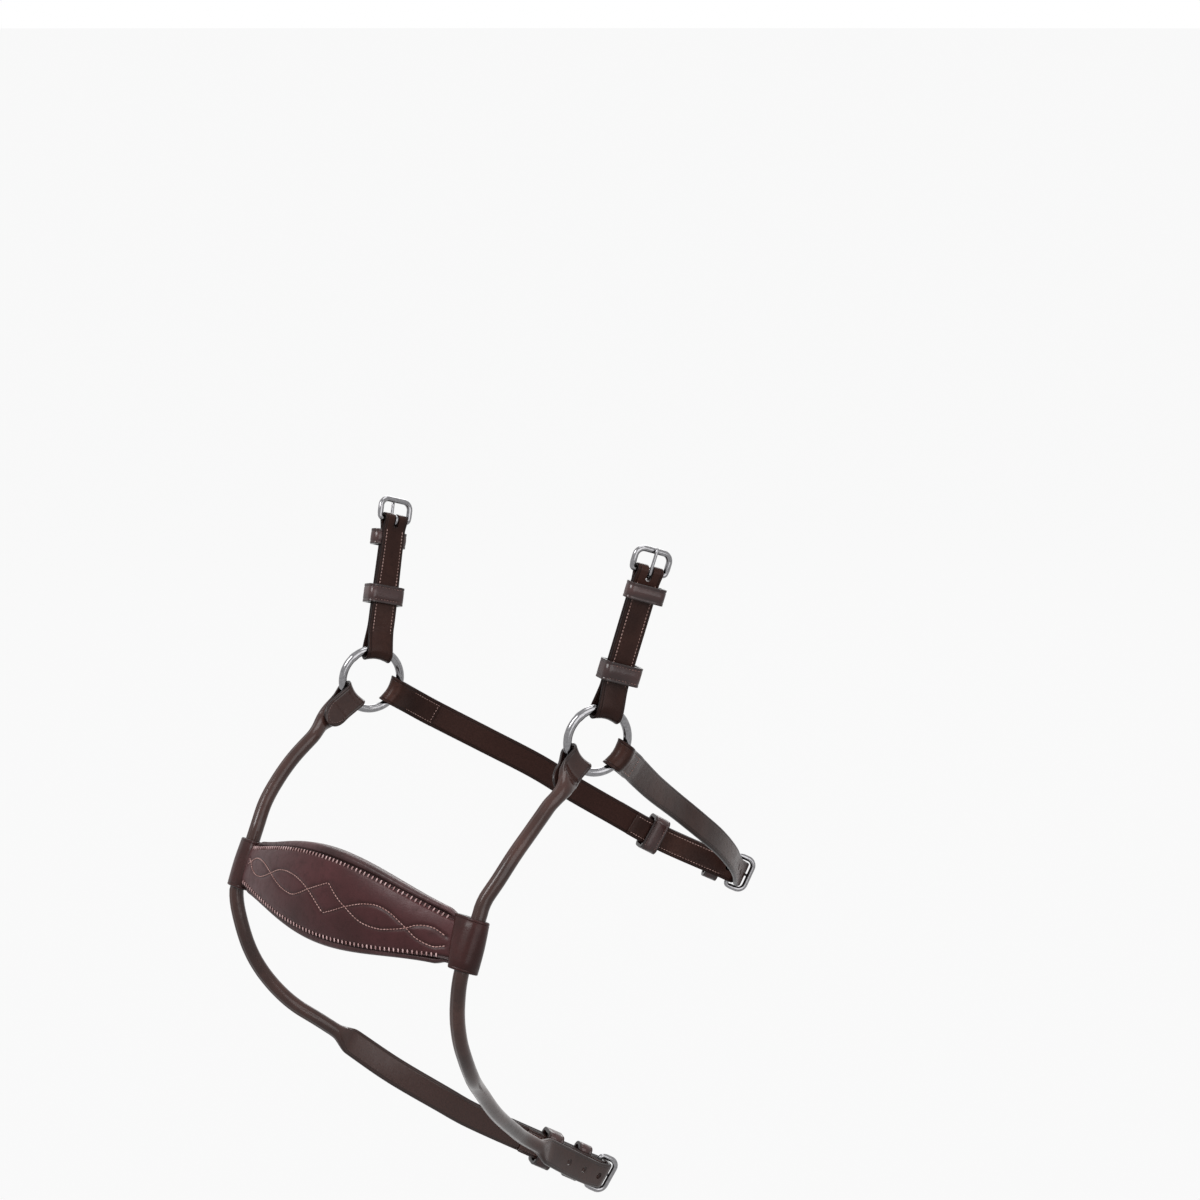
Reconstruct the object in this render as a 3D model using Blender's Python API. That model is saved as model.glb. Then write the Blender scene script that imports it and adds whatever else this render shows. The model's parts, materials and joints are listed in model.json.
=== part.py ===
"""Bridle noseband with a padded nosepiece, rolled cheek straps, jaw strap and chin strap.

The origin lies midway between the heel bars of the two hanger buckles, where the
headpiece holds the noseband up. X points to the horse's left, -Y to its muzzle, +Z up.
Side +1 is the left (near) side and side -1 the right (off) side.
"""

from math import acos, atan2, ceil, cos, pi, radians, sin, sqrt

import bmesh
import bpy
from mathutils import Vector

# Rings, and where their centres hang under the hanger buckles
RING_HALF_SPAN = 0.0838
RING_FORWARD = 0.0251
RING_DROP = 0.0801
RING_OUTER_DIAMETER = 0.0360
RING_WIRE = 0.0042
RING_TURN = radians(20.0)
HANGER_HALF_SPAN = 0.0929
LEFT_HANGER_TURN = radians(22.0)
RIGHT_HANGER_TURN = radians(4.0)

# Leather straps
STRAP_WIDTH = 0.0140
LAYER_THICKNESS = 0.0018
LOOP_THICKNESS = 0.0016
BILLET_THICKNESS = 0.0024
LAYER_GAP = 0.0004
RING_PLAY = 0.0013
LOOP_TAPER = 0.0110
HEEL_TAPER = 0.0050
SAG_FADE = 0.0120

# Turned back and stitched ends
HANGER_LOWER_TURNBACK = 0.0200
HANGER_UPPER_TURNBACK = 0.0300
JAW_RING_TURNBACK = 0.0240
JAW_BUCKLE_TURNBACK = 0.0700
CHIN_BUCKLE_TURNBACK = 0.0460

# Rolled straps
ROLL_DIAMETER = 0.0073
ROLL_TAB_LENGTH = 0.0170
ROLL_TAB_SHOULDER = 0.0135
ROLL_TAB_TIP_WIDTH = 0.0050
ROLL_SETTLE = 0.0140
ROLL_OPENING = 0.0120
RIGHT_ROLL_END = 0.1700
LEFT_ROLL_END = 0.0620

# Cuffs, through which the rolled straps pass, from the line through the ring centres
CUFF_HALF_SPAN = 0.0850
CUFF_FORWARD = 0.0847
CUFF_DROP = 0.0817
CUFF_LEAN = radians(24.8)
CUFF_HEIGHT = 0.0250
CUFF_WALL = 0.0016
CUFF_CLEARANCE = 0.0005
CUFF_SLIDE = 0.0040
CUFF_NECK_THICKNESS = 0.0096
CUFF_SQUARE_SHARE = 0.2

# Nosepiece, whose middle is placed from the cuffs
NOSE_END_INSET = 0.0070
NOSE_AHEAD = 0.0196
NOSE_RISE = 0.0084
NOSE_BOW = 0.0150
NOSE_END_SINK = 0.0058
NOSE_LEAN = radians(12.7)
FRONT_MIDDLE_HEIGHT = 0.0378
FRONT_END_HEIGHT = 0.0236
FRONT_THICKNESS = 0.0024
FRONT_CROWN = 0.0026
PAD_MIDDLE_HEIGHT = 0.0470
PAD_END_HEIGHT = 0.0262
PAD_THICKNESS = 0.0092
PAD_END_THICKNESS = 0.0062
NOSE_SWELL_POWER = 1.6
NOSE_SLICES = 8
NOSE_SLOPE_SHARE = 0.01
FRONT_OUTLINE_SHARES = (
    (-1.0, 0.0), (-0.72, 0.55), (-0.38, 0.92), (0.0, 1.0), (0.38, 0.92), (0.72, 0.55), (1.0, 0.0),
)
PAD_OUTLINE_SHARES = (
    (-0.80, 0.00), (-0.40, 0.00), (0.00, 0.00), (0.40, 0.00), (0.80, 0.00), (0.95, -0.14),
    (1.00, -0.42), (0.95, -0.76), (0.74, -0.95), (0.38, -1.00), (0.00, -0.97), (-0.38, -1.00),
    (-0.74, -0.95), (-0.95, -0.76), (-1.00, -0.42), (-0.95, -0.14),
)

# Jaw strap and chin strap, from the line through the ring centres to their heel bars
JAW_REACH = 0.1929
JAW_DROP = 0.1308
JAW_BAR_SIDE = -0.0022
CHIN_REACH = 0.0695
CHIN_DROP = 0.2685
CHIN_BAR_SIDE = 0.0110
JAW_TAIL = 0.0760
CHIN_TAIL = 0.0520

# Buckles: a wire frame whose heel bar the strap turns round, with a loose tongue
FRAME_WIRE = 0.0030
HEEL_WIRE = 0.0026
FRAME_SIDE_PLAY = 0.0007
FRAME_LENGTH = 0.0105
FRAME_CORNER = 0.0042
HEEL_PLAY = 0.00035
TONGUE_WIRE = 0.0016
TONGUE_SLOT_PLAY = 0.0006
TONGUE_REST_GAP = 0.0003
SLOT_BACK = 0.0045
BILLET_FOLD_GAP = 0.0004
BILLET_FOLD_REACH = 0.0018
BILLET_LEAD = 0.0080

# Holes punched in the billets
HOLE_DIAMETER = 0.0036
TONGUE_HOLE_DIAMETER = 0.0042
HOLE_PITCH = 0.0140
HOLE_COUNT = 3
FIRST_HOLE_AT = 0.0040
TAIL_TIP_LENGTH = 0.0080
TAIL_TIP_WIDTH = 0.0060

# Keepers
KEEPER_WALL = 0.0018
KEEPER_PLAY = 0.0004
KEEPER_SIDE_PLAY = 0.0014
KEEPER_CORNER = 0.0014
FIXED_KEEPER_WIDTH = 0.0080
RUNNING_KEEPER_WIDTH = 0.0095
FIXED_KEEPER_AT = 0.0100
LEFT_RUNNING_KEEPER_AT = 0.0500
RIGHT_RUNNING_KEEPER_AT = 0.0400
JAW_RUNNING_KEEPER_AT = 0.0500
CHIN_RUNNING_KEEPER_AT = 0.0300

# Faceting, curve steps and the overrun of a cutter
COLUMNS = 5
WIRE_SIDES = 8
RING_STEPS = 36
RING_SIDES = 10
CUFF_SIDES = 20
CURVE_STEPS = 12
BEND_STEPS = 7
EYE_STEPS = 8
BEND_START = radians(100.0)
EYE_START = radians(-40.0)
EYE_END = radians(-260.0)
COURSE_STEP = 0.0100
FINE_STEP = 0.0040
CUT_OVERRUN = 0.0030
FLATNESS = 0.00001
SMOOTH_ANGLE = radians(40.0)

# Routes, as shares of the spans, reaches and drops above
UPPER_ROLL_SHARES = (
    (1.037, 0.374, 0.255),
    (1.058, 0.574, 0.409),
    (1.055, 0.700, 0.523),
    (1.044, 0.813, 0.650),
)
LOWER_ROLL_SHARES = (
    (0.972, -0.035, 0.174),
    (0.935, -0.008, 0.259),
    (0.887, 0.040, 0.336),
    (0.815, 0.099, 0.402),
    (0.720, 0.161, 0.450),
)
CHIN_ARM_SHARES = (
    (0.632, 0.228, 0.502),
    (0.474, 0.369, 0.617),
    (0.321, 0.526, 0.727),
    (0.254, 0.611, 0.784),
)
CUFF_RUN_SHARES = (1.25, 0.90, 0.30, -0.30, -0.88)
JAW_ARM_SHARES = (
    (0.901, 0.171, 0.170),
    (0.746, 0.316, 0.313),
    (0.625, 0.467, 0.459),
    (0.570, 0.586, 0.585),
    (0.489, 0.700, 0.703),
    (0.340, 0.829, 0.841),
)
JAW_WIDTH_DIRECTION = (0.20, 0.47, 0.84)
CHIN_WIDTH_DIRECTION = (0.26, 0.52, 0.81)

# Where along a strap its width turns, and how a roll and a billet change shape
RING_HOLD_SHARE = 0.05
ROLL_HOLD_SHARE = 0.08
HANGER_HOLD_SHARE = 0.2
HANGER_SETTLED_SHARE = 0.8
MIDWAY_SHARE = 0.45
BUCKLE_HOLD_SHARE = 0.85
ROLL_THROAT_SHARE = 0.6
ROLL_THROAT_RISE_SHARE = 1.6
ROLL_CLOSING_SHARES = (0.35, 0.5, 0.65, 0.8, 1.0)
ROLL_SWELL_START_SHARE = 0.2
ROLL_SWELL_SPAN_SHARE = 0.6
ROLL_ROUNDING_SHARE = 1.5
ROLL_SLICE_SHARE = 0.7
ROLL_OPENING_SHARES = (0.0, 0.3, 0.6, 1.0)
BILLET_EASE_SHARE = 0.55
HEEL_CORNER_SHARE = 0.8
TONGUE_FALL_SHARES = (0.2, 0.6)

NOSE_HALF_LENGTH = CUFF_HALF_SPAN - NOSE_END_INSET
NOSE_FORWARD = CUFF_FORWARD + NOSE_AHEAD
NOSE_DROP = CUFF_DROP - NOSE_RISE
RING_LINE = Vector((0.0, -RING_FORWARD, -RING_DROP))
RING_MEAN_RADIUS = (RING_OUTER_DIAMETER - RING_WIRE) / 2
RING_NORMAL = Vector((cos(RING_TURN), -sin(RING_TURN), 0.0))
RING_BACK = Vector((sin(RING_TURN), cos(RING_TURN), 0.0))
UP = Vector((0.0, 0.0, 1.0))
LEFT = Vector((1.0, 0.0, 0.0))
RIGHT = -LEFT
BACK = Vector((0.0, 1.0, 0.0))
CUFF_AXIS = Vector((0.0, sin(CUFF_LEAN), cos(CUFF_LEAN)))
ROLL_RADIUS = ROLL_DIAMETER / 2
HEEL_RADIUS = HEEL_WIRE / 2
HEEL_LOOP_RADIUS = HEEL_RADIUS + HEEL_PLAY + LOOP_THICKNESS / 2
RING_LOOP_RADIUS = RING_WIRE / 2 + RING_PLAY + LOOP_THICKNESS / 2
LAYER_OFFSET = (LAYER_GAP + LAYER_THICKNESS) / 2
SINGLE_OFFSET = LAYER_OFFSET + (LAYER_THICKNESS - BILLET_THICKNESS) / 2
BILLET_FOLD_RADIUS = HEEL_LOOP_RADIUS + (LOOP_THICKNESS + BILLET_THICKNESS) / 2 + BILLET_FOLD_GAP
TAIL_OFFSET = LAYER_OFFSET + (LAYER_THICKNESS + BILLET_THICKNESS) / 2 + LAYER_GAP


def clear_scene():
    """Remove every object that the scene holds."""
    for item in list(bpy.data.objects):
        bpy.data.objects.remove(item, do_unlink=True)


def material(name, colour, roughness, metallic):
    """A Principled material of one colour."""
    made = bpy.data.materials.new(name)
    made.use_nodes = True
    shader = made.node_tree.nodes["Principled BSDF"]
    shader.inputs["Base Color"].default_value = (*colour, 1.0)
    shader.inputs["Roughness"].default_value = roughness
    shader.inputs["Metallic"].default_value = metallic
    return made


def leather(name):
    """Dark brown bridle leather."""
    return material(name, (0.060, 0.027, 0.024), 0.42, 0.0)


def steel(name):
    """Polished stainless steel."""
    return material(name, (0.62, 0.61, 0.60), 0.18, 1.0)


def place(name, mesh, finish, origin):
    """An object for a mesh drawn in world space, with its origin moved to a point."""
    bmesh.ops.recalc_face_normals(mesh, faces=mesh.faces)
    bmesh.ops.translate(mesh, verts=mesh.verts, vec=-origin)
    data = bpy.data.meshes.new(name)
    mesh.to_mesh(data)
    mesh.free()
    data.materials.append(finish(name + "_finish"))
    data.shade_smooth()
    data.set_sharp_from_angle(angle=SMOOTH_ANGLE)
    made = bpy.data.objects.new(name, data)
    made.location = origin
    bpy.context.scene.collection.objects.link(made)
    return made


def skin(rings, closed):
    """A mesh that joins equal loops of points one to the next, capped unless closed."""
    mesh = bmesh.new()
    loops = [[mesh.verts.new(point) for point in ring] for ring in rings]
    count = len(loops[0])
    pairs = list(zip(loops, loops[1:]))
    if closed:
        pairs.append((loops[-1], loops[0]))
    for low, high in pairs:
        middle = sum((vert.co for vert in low + high), Vector()) / (2 * count)
        for i in range(count):
            j = (i + 1) % count
            fill(mesh, (low[i], low[j], high[j], high[i]), middle)
    if not closed:
        mesh.faces.new(loops[0])
        mesh.faces.new(list(reversed(loops[-1])))
    return mesh


def fill(mesh, corners, middle):
    """A face on four corners, creased towards the body's middle where they aren't flat."""
    a, b, c, d = corners
    first = (a.co + c.co) / 2
    second = (b.co + d.co) / 2
    normal = (c.co - a.co).cross(d.co - b.co).normalized()
    bulge = normal.dot(first - second)
    if abs(bulge) < FLATNESS:
        mesh.faces.new(corners)
    elif bulge * normal.dot(middle - (first + second) / 2) > 0:
        mesh.faces.new((a, b, c))
        mesh.faces.new((a, c, d))
    else:
        mesh.faces.new((a, b, d))
        mesh.faces.new((b, c, d))


def subtract(target, cutter):
    """Cut one object out of another with a live Boolean."""
    cutter.hide_render = True
    cutter.display_type = "WIRE"
    cut = target.modifiers.new("cut", "BOOLEAN")
    cut.operation = "DIFFERENCE"
    cut.solver = "EXACT"
    cut.object = cutter


def ease(share):
    """Smooth step from 0 to 1."""
    share = min(max(share, 0.0), 1.0)
    return share * share * (3 - 2 * share)


def mix(low, high, share):
    """Value between two numbers or points."""
    return low + (high - low) * share


def square_to(vector, axis):
    """Unit vector made square to an axis."""
    return (vector - axis * vector.dot(axis)).normalized()


def smooth_points(knots, step):
    """Even steps along a smooth curve through the knots."""
    ends = [knots[0] * 2 - knots[1]] + list(knots) + [knots[-1] * 2 - knots[-2]]
    dense = []
    for before, start, end, after in zip(ends, ends[1:], ends[2:], ends[3:]):
        spans = [sqrt((q - p).length) for p, q in ((before, start), (start, end), (end, after))]
        lead = start - before
        pull = end - start
        trail = after - end
        exit_slope = pull + (lead / spans[0] - (end - before) / (spans[0] + spans[1])) * spans[1]
        entry_slope = pull + (trail / spans[2] - (after - start) / (spans[1] + spans[2])) * spans[1]
        for i in range(CURVE_STEPS):
            t = i / CURVE_STEPS
            square, cube = t * t, t * t * t
            dense.append(
                start * (2 * cube - 3 * square + 1)
                + exit_slope * (cube - 2 * square + t)
                + end * (3 * square - 2 * cube)
                + entry_slope * (cube - square)
            )
    dense.append(knots[-1].copy())
    lengths = [0.0]
    for start, end in zip(dense, dense[1:]):
        lengths.append(lengths[-1] + (end - start).length)
    count = max(2, ceil(lengths[-1] / step))
    picked = []
    index = 0
    for i in range(count + 1):
        goal = lengths[-1] * i / count
        while index < len(dense) - 2 and lengths[index + 1] < goal:
            index += 1
        run = lengths[index + 1] - lengths[index]
        picked.append(mix(dense[index], dense[index + 1], (goal - lengths[index]) / run))
    return picked


class Course:
    """A centre line whose strap has a width direction and an off-side face all along it."""

    def __init__(self, knots, widths):
        """Take the knots and the width directions as (share of the length, direction)."""
        self.points = smooth_points(knots, FINE_STEP)
        self.ends = [0.0]
        for start, end in zip(self.points, self.points[1:]):
            self.ends.append(self.ends[-1] + (end - start).length)
        self.length = self.ends[-1]
        self.widths = widths
        self.stops = [self.length - HEEL_TAPER]
        while self.stops[0] - COURSE_STEP > LOOP_TAPER + COURSE_STEP / 4:
            self.stops.insert(0, self.stops[0] - COURSE_STEP)
        self.stops.insert(0, LOOP_TAPER)
        start = self.tangent(0.0)
        self.sign = 1 if start.cross(square_to(widths[0][1], start)).dot(RIGHT) > 0 else -1

    def point(self, along):
        """Point at a distance along the line, on a straight run past either end."""
        if along <= 0:
            return self.points[0] + (self.points[1] - self.points[0]).normalized() * along
        if along >= self.length:
            step = (self.points[-1] - self.points[-2]).normalized()
            return self.points[-1] + step * (along - self.length)
        index = 0
        while self.ends[index + 1] < along:
            index += 1
        run = self.ends[index + 1] - self.ends[index]
        return mix(self.points[index], self.points[index + 1], (along - self.ends[index]) / run)

    def stop(self, along):
        """The stop nearest to a distance along the line."""
        return min(self.stops, key=lambda place: abs(place - along))

    def between(self, start, end, off):
        """(along, off) points at the stops between two places, without the two ends."""
        clear = COURSE_STEP / 100
        return [(place, off) for place in self.stops if start + clear < place < end - clear]

    def tangent(self, along):
        """Unit direction of travel."""
        reach = FINE_STEP / 2
        inside = min(max(along, 0.0), self.length)
        start = self.point(max(inside - reach, 0.0))
        end = self.point(min(inside + reach, self.length))
        return (end - start).normalized()

    def frame(self, along):
        """Point, direction of travel, width direction and direction to the horse's right."""
        ahead = self.tangent(along)
        share = min(max(along / self.length, 0.0), 1.0)
        across = self.widths[-1][1]
        for (low, start), (high, end) in zip(self.widths, self.widths[1:]):
            if low <= share <= high:
                across = mix(start, end, ease((share - low) / (high - low)))
                break
        across = square_to(across, ahead)
        return self.point(along), ahead, across, ahead.cross(across) * self.sign


class Anchor:
    """Where a strap turns round a ring's wire on its way to a target."""

    def __init__(self, side, target):
        """Take the side of the ring and the point that the strap makes for."""
        centre = ring_centre(side)
        way = target - centre
        self.radial = (RING_BACK * way.dot(RING_BACK) + UP * way.dot(UP)).normalized()
        self.wire = centre + self.radial * RING_MEAN_RADIUS
        self.tangent = RING_NORMAL.cross(self.radial)
        self.ahead = square_to(target - self.wire, self.tangent)

    def sag(self, along, across):
        """How the loop follows the ring's curve, fading out along the strap."""
        drop = RING_MEAN_RADIUS - sqrt(RING_MEAN_RADIUS ** 2 - across ** 2)
        fade = 1 - ease((along - RING_LOOP_RADIUS) / SAG_FADE)
        return self.radial * (-drop * fade)


def ring_centre(side):
    """Centre of the ring on one side."""
    return RING_LINE + LEFT * (side * RING_HALF_SPAN)


def below(side, span, forward, drop):
    """Point given by its half span, its way forward of the ring line and its drop under it."""
    return RING_LINE + Vector((side * span, -forward, -drop))


def bend_line(radius):
    """Bend of a strap round a bar, as (along, off) points from one face to the other."""
    bend = []
    for i in range(BEND_STEPS + 1):
        angle = mix(BEND_START, 2 * pi - BEND_START, i / BEND_STEPS)
        bend.append((radius * cos(angle), -radius * sin(angle)))
    return bend


def facing(points, way):
    """Mirror (along, off) points to the other face of the strap where way is -1."""
    return [(along, off * way) for along, off in points]


def from_end(points, length):
    """Measure (along, off) points back from a course's far end, in reverse order."""
    return [(length - along, off) for along, off in reversed(points)]


def dress(points, thickness, width=STRAP_WIDTH):
    """Give plain (along, off) points a thickness and a width."""
    return [(along, off, thickness, width) for along, off in points]


def ring_end(course, turnback, way):
    """Strap points from a turned back end, round the ring and out to that end's place again."""
    tip = course.stop(turnback)
    inner = [(tip, -LAYER_OFFSET)] + course.between(LOOP_TAPER, tip, -LAYER_OFFSET)[::-1]
    inner.append((LOOP_TAPER, -LAYER_OFFSET))
    outer = [(LOOP_TAPER, LAYER_OFFSET)] + course.between(LOOP_TAPER, tip, LAYER_OFFSET)
    outer.append((tip, LAYER_OFFSET))
    line = dress(facing(inner, way), LAYER_THICKNESS)
    line += dress(facing(bend_line(RING_LOOP_RADIUS), way), LOOP_THICKNESS)
    line += dress(facing(outer, way), LAYER_THICKNESS)
    return line


def heel_end(course, turnback, way):
    """Strap points from a turned back end's place, round the heel bar and back to that end."""
    tip = course.stop(course.length - turnback)
    taper = course.length - HEEL_TAPER
    outer = [(tip, LAYER_OFFSET)] + course.between(tip, taper, LAYER_OFFSET)
    outer.append((taper, LAYER_OFFSET))
    inner = [(taper, -LAYER_OFFSET)] + course.between(tip, taper, -LAYER_OFFSET)[::-1]
    inner.append((tip, -LAYER_OFFSET))
    bend = from_end(bend_line(HEEL_LOOP_RADIUS), course.length)
    line = dress(facing(outer, way), LAYER_THICKNESS)
    line += dress(facing(bend, way), LOOP_THICKNESS)
    line += dress(facing(inner, way), LAYER_THICKNESS)
    return line


def strip_rings(course, line, anchor=None):
    """Loops of points round a flat strap whose layer runs beside a course."""
    rings = []
    for index, (along, off, thickness, width) in enumerate(line):
        here = Vector((along, off))
        before = Vector(line[max(index - 1, 0)][:2])
        after = Vector(line[min(index + 1, len(line) - 1)][:2])
        run = (here - before).normalized() + (after - here).normalized()
        run.normalize()
        normal = Vector((-run[1], run[0]))
        rings.append(strip_ring(course, here, normal, thickness, width, anchor))
    return rings


def strip_ring(course, here, normal, thickness, width, anchor):
    """One loop of points: the face on the left of the run, then the other face."""
    columns = [width * (i / (COLUMNS - 1) - 0.5) for i in range(COLUMNS)]
    ring = []
    for face, order in ((1, columns), (-1, list(reversed(columns)))):
        reach, height = here + normal * (face * thickness / 2)
        point, _, across, off_side = course.frame(reach)
        for column in order:
            spot = point + off_side * height + across * column
            if anchor:
                spot = spot + anchor.sag(reach, column)
            ring.append(spot)
    return ring


def roll_ring(course, along, off, width, thickness, roundness):
    """Loop of points between a flat strap's outline and a round roll's."""
    point, _, across, off_side = course.frame(along)
    centre = point + off_side * off
    ring = []
    for k in range(2 * COLUMNS):
        angle = pi - pi * (k + 0.5) / COLUMNS
        row = k if k < COLUMNS else 2 * COLUMNS - 1 - k
        column = row / (COLUMNS - 1) - 0.5
        face = 1 if k < COLUMNS else -1
        flat = across * (column * width) + off_side * (face * thickness / 2)
        round_way = across * (cos(angle) * width / 2) + off_side * (sin(angle) * thickness / 2)
        ring.append(centre + mix(flat, round_way, roundness))
    return ring


def wire_loop(name, points, plane, radii, sides, origin, closed):
    """Round wire along points that lie in one plane."""
    rings = []
    count = len(points)
    for i, point in enumerate(points):
        before = points[i - 1] if closed or i else point
        after = points[(i + 1) % count] if closed or i < count - 1 else point
        ahead = (after - before).normalized()
        beside = ahead.cross(plane).normalized()
        ring = []
        for k in range(sides):
            angle = 2 * pi * (k + 0.5) / sides
            ring.append(point + (plane * cos(angle) + beside * sin(angle)) * radii[i])
        rings.append(ring)
    return place(name, skin(rings, closed), steel, origin)


def make_ring(label, side):
    """Round steel ring that three straps turn round."""
    centre = ring_centre(side)
    points = []
    for i in range(RING_STEPS):
        angle = 2 * pi * i / RING_STEPS
        points.append(centre + (RING_BACK * cos(angle) + UP * sin(angle)) * RING_MEAN_RADIUS)
    radii = [RING_WIRE / 2] * RING_STEPS
    wire_loop(f"ring_{label}", points, RING_NORMAL, radii, RING_SIDES, centre, True)


class Seat:
    """Heel bar at a course's end, with the directions of the buckle that hangs on it."""

    def __init__(self, course, way):
        """Take the course and the face, 1 or -1, that the tongue lies on."""
        self.bar, self.ahead, self.across, off_side = course.frame(course.length)
        self.outward = off_side * way

    def spot(self, along, off, side=0.0):
        """Point in the buckle's own directions."""
        return self.bar + self.ahead * along + self.outward * off + self.across * side


def make_frame(name, seat):
    """Buckle frame: a heel bar, two sides and a front bar with rounded corners."""
    half = STRAP_WIDTH / 2 + FRAME_SIDE_PLAY + FRAME_WIRE / 2
    bar_half = half - FRAME_WIRE / 2
    one_side = [(0.0, bar_half), (FRAME_WIRE / 4, half)]
    for i in range(4):
        angle = radians(30.0 * i)
        one_side.append((
            FRAME_LENGTH - FRAME_CORNER + FRAME_CORNER * sin(angle),
            half - FRAME_CORNER + FRAME_CORNER * cos(angle),
        ))
    mirrored = [(along, -side) for along, side in reversed(one_side)]
    outline = [(0.0, 0.0)] + one_side + [(FRAME_LENGTH, 0.0)] + mirrored
    heel = [HEEL_RADIUS, HEEL_RADIUS, mix(HEEL_RADIUS, FRAME_WIRE / 2, HEEL_CORNER_SHARE)]
    radii = heel + [FRAME_WIRE / 2] * (len(outline) - 5) + list(reversed(heel[1:]))
    points = [seat.spot(along, 0.0, side) for along, side in outline]
    return wire_loop(name, points, seat.outward, radii, WIRE_SIDES, seat.bar, True)


def make_tongue(name, seat):
    """Tongue whose eye goes round the heel bar and whose tip rests on the frame's front."""
    eye = HEEL_RADIUS + HEEL_PLAY + TONGUE_WIRE / 2
    rest = (FRAME_WIRE + TONGUE_WIRE) / 2 + TONGUE_REST_GAP
    outline = []
    for i in range(EYE_STEPS + 1):
        angle = mix(EYE_START, EYE_END, i / EYE_STEPS)
        outline.append((eye * cos(angle), eye * sin(angle)))
    outline.append((eye / 2, mix(eye, rest, TONGUE_FALL_SHARES[0])))
    outline.append((FRAME_LENGTH / 2, mix(eye, rest, TONGUE_FALL_SHARES[1])))
    outline.append((FRAME_LENGTH, rest))
    outline.append((FRAME_LENGTH + FRAME_WIRE / 2, rest))
    points = [seat.spot(along, off) for along, off in outline]
    radii = [TONGUE_WIRE / 2] * (len(points) - 1) + [TONGUE_WIRE / 4]
    return wire_loop(name, points, seat.across, radii, WIRE_SIDES, seat.bar, False)


def cut_tongue_slot(strap, seat):
    """Slot through the bend round the heel bar, which frees the tongue."""
    half = TONGUE_WIRE / 2 + TONGUE_SLOT_PLAY
    reach = HEEL_LOOP_RADIUS + LOOP_THICKNESS / 2 + CUT_OVERRUN
    rings = []
    for along in (-SLOT_BACK, reach):
        corners = ((half, reach), (-half, reach), (-half, -reach), (half, -reach))
        rings.append([seat.spot(along, off, side) for side, off in corners])
    subtract(strap, place(strap.name + "_slot", skin(rings, False), leather, seat.bar))


def punch(strap, label, centre, axis, across, diameter):
    """Round hole through a strap."""
    beside = axis.cross(across).normalized()
    rings = []
    for reach in (-CUT_OVERRUN, CUT_OVERRUN):
        ring = []
        for k in range(WIRE_SIDES):
            angle = 2 * pi * k / WIRE_SIDES
            turn = across * cos(angle) + beside * sin(angle)
            ring.append(centre + axis * reach + turn * (diameter / 2))
        rings.append(ring)
    subtract(strap, place(f"{strap.name}_hole_{label}", skin(rings, False), leather, centre))


def make_keeper(name, course, back, way, width, origin=None):
    """Keeper: a closed leather band round a doubled strap, a distance behind the heel bar."""
    along = course.length - back
    low, ahead, across, off_side = course.frame(course.stop(along - COURSE_STEP / 2))
    high, *turned = course.frame(course.stop(along + COURSE_STEP / 2))
    point = (low + high) / 2
    ahead = (high - low).normalized()
    across = square_to(across + turned[1], ahead)
    off_side = square_to(off_side + turned[2], ahead)
    outward = off_side * way
    half = STRAP_WIDTH / 2 + KEEPER_SIDE_PLAY
    base = -LAYER_OFFSET - LAYER_THICKNESS / 2 - KEEPER_PLAY
    top = TAIL_OFFSET + BILLET_THICKNESS / 2 + KEEPER_PLAY
    loops = []
    for grow in (0.0, KEEPER_WALL):
        corner = KEEPER_CORNER + grow
        loop = []
        for turn, (edge_way, level) in enumerate(((1, 1), (-1, 1), (-1, -1), (1, -1))):
            edge = edge_way * (half + grow - corner)
            rim = top + grow - corner if level > 0 else base - grow + corner
            for i in range(3):
                angle = pi / 2 * turn + pi / 4 * i
                loop.append((edge + corner * cos(angle), rim + corner * sin(angle)))
        loops.append(loop)
    rings = []
    for loop, reach in ((loops[1], -1), (loops[1], 1), (loops[0], 1), (loops[0], -1)):
        centre = point + ahead * (reach * width / 2)
        rings.append([centre + across * edge + outward * rim for edge, rim in loop])
    return place(name, skin(rings, True), leather, point if origin is None else origin)


def make_hanger(label, side, turn, running_at):
    """Doubled strap from the ring up to the buckle that the headpiece fastens in."""
    way = -side
    bar = LEFT * (side * HANGER_HALF_SPAN)
    anchor = Anchor(side, bar)
    rise = bar - anchor.wire
    top_width = Vector((-sin(turn), -cos(turn), 0.0))
    knots = [anchor.wire, anchor.wire + anchor.ahead * (rise.length / 3), bar - rise / 4, bar]
    widths = [(0.0, anchor.tangent), (HANGER_HOLD_SHARE, anchor.tangent),
              (HANGER_SETTLED_SHARE, top_width)]
    course = Course(knots, widths)
    line = ring_end(course, HANGER_LOWER_TURNBACK, way)
    lower = course.stop(HANGER_LOWER_TURNBACK)
    upper = course.stop(course.length - HANGER_UPPER_TURNBACK)
    line += dress(facing(course.between(lower, upper, LAYER_OFFSET), way), LAYER_THICKNESS)
    line += heel_end(course, HANGER_UPPER_TURNBACK, way)
    strap = place(f"hanger_strap_{label}", skin(strip_rings(course, line, anchor), False),
                  leather, Vector())
    seat = Seat(course, way)
    cut_tongue_slot(strap, seat)
    make_frame(f"hanger_buckle_{label}", seat)
    make_tongue(f"hanger_tongue_{label}", seat)
    make_keeper(f"hanger_fixed_keeper_{label}", course, FIXED_KEEPER_AT, way,
                FIXED_KEEPER_WIDTH, Vector())
    make_keeper(f"hanger_slide_keeper_{label}", course, running_at, way,
                RUNNING_KEEPER_WIDTH)


def cuff_centre(side):
    """Middle of a cuff, on the axis of the roll in it."""
    return below(side, CUFF_HALF_SPAN, CUFF_FORWARD, CUFF_DROP)


def route(side, table, start, end):
    """Points from a table of shares, between two (forward, drop) places."""
    points = []
    for span, back, drop in table:
        points.append(below(side, span * RING_HALF_SPAN,
                            mix(start[0], end[0], back), mix(start[1], end[1], drop)))
    return points


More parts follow.
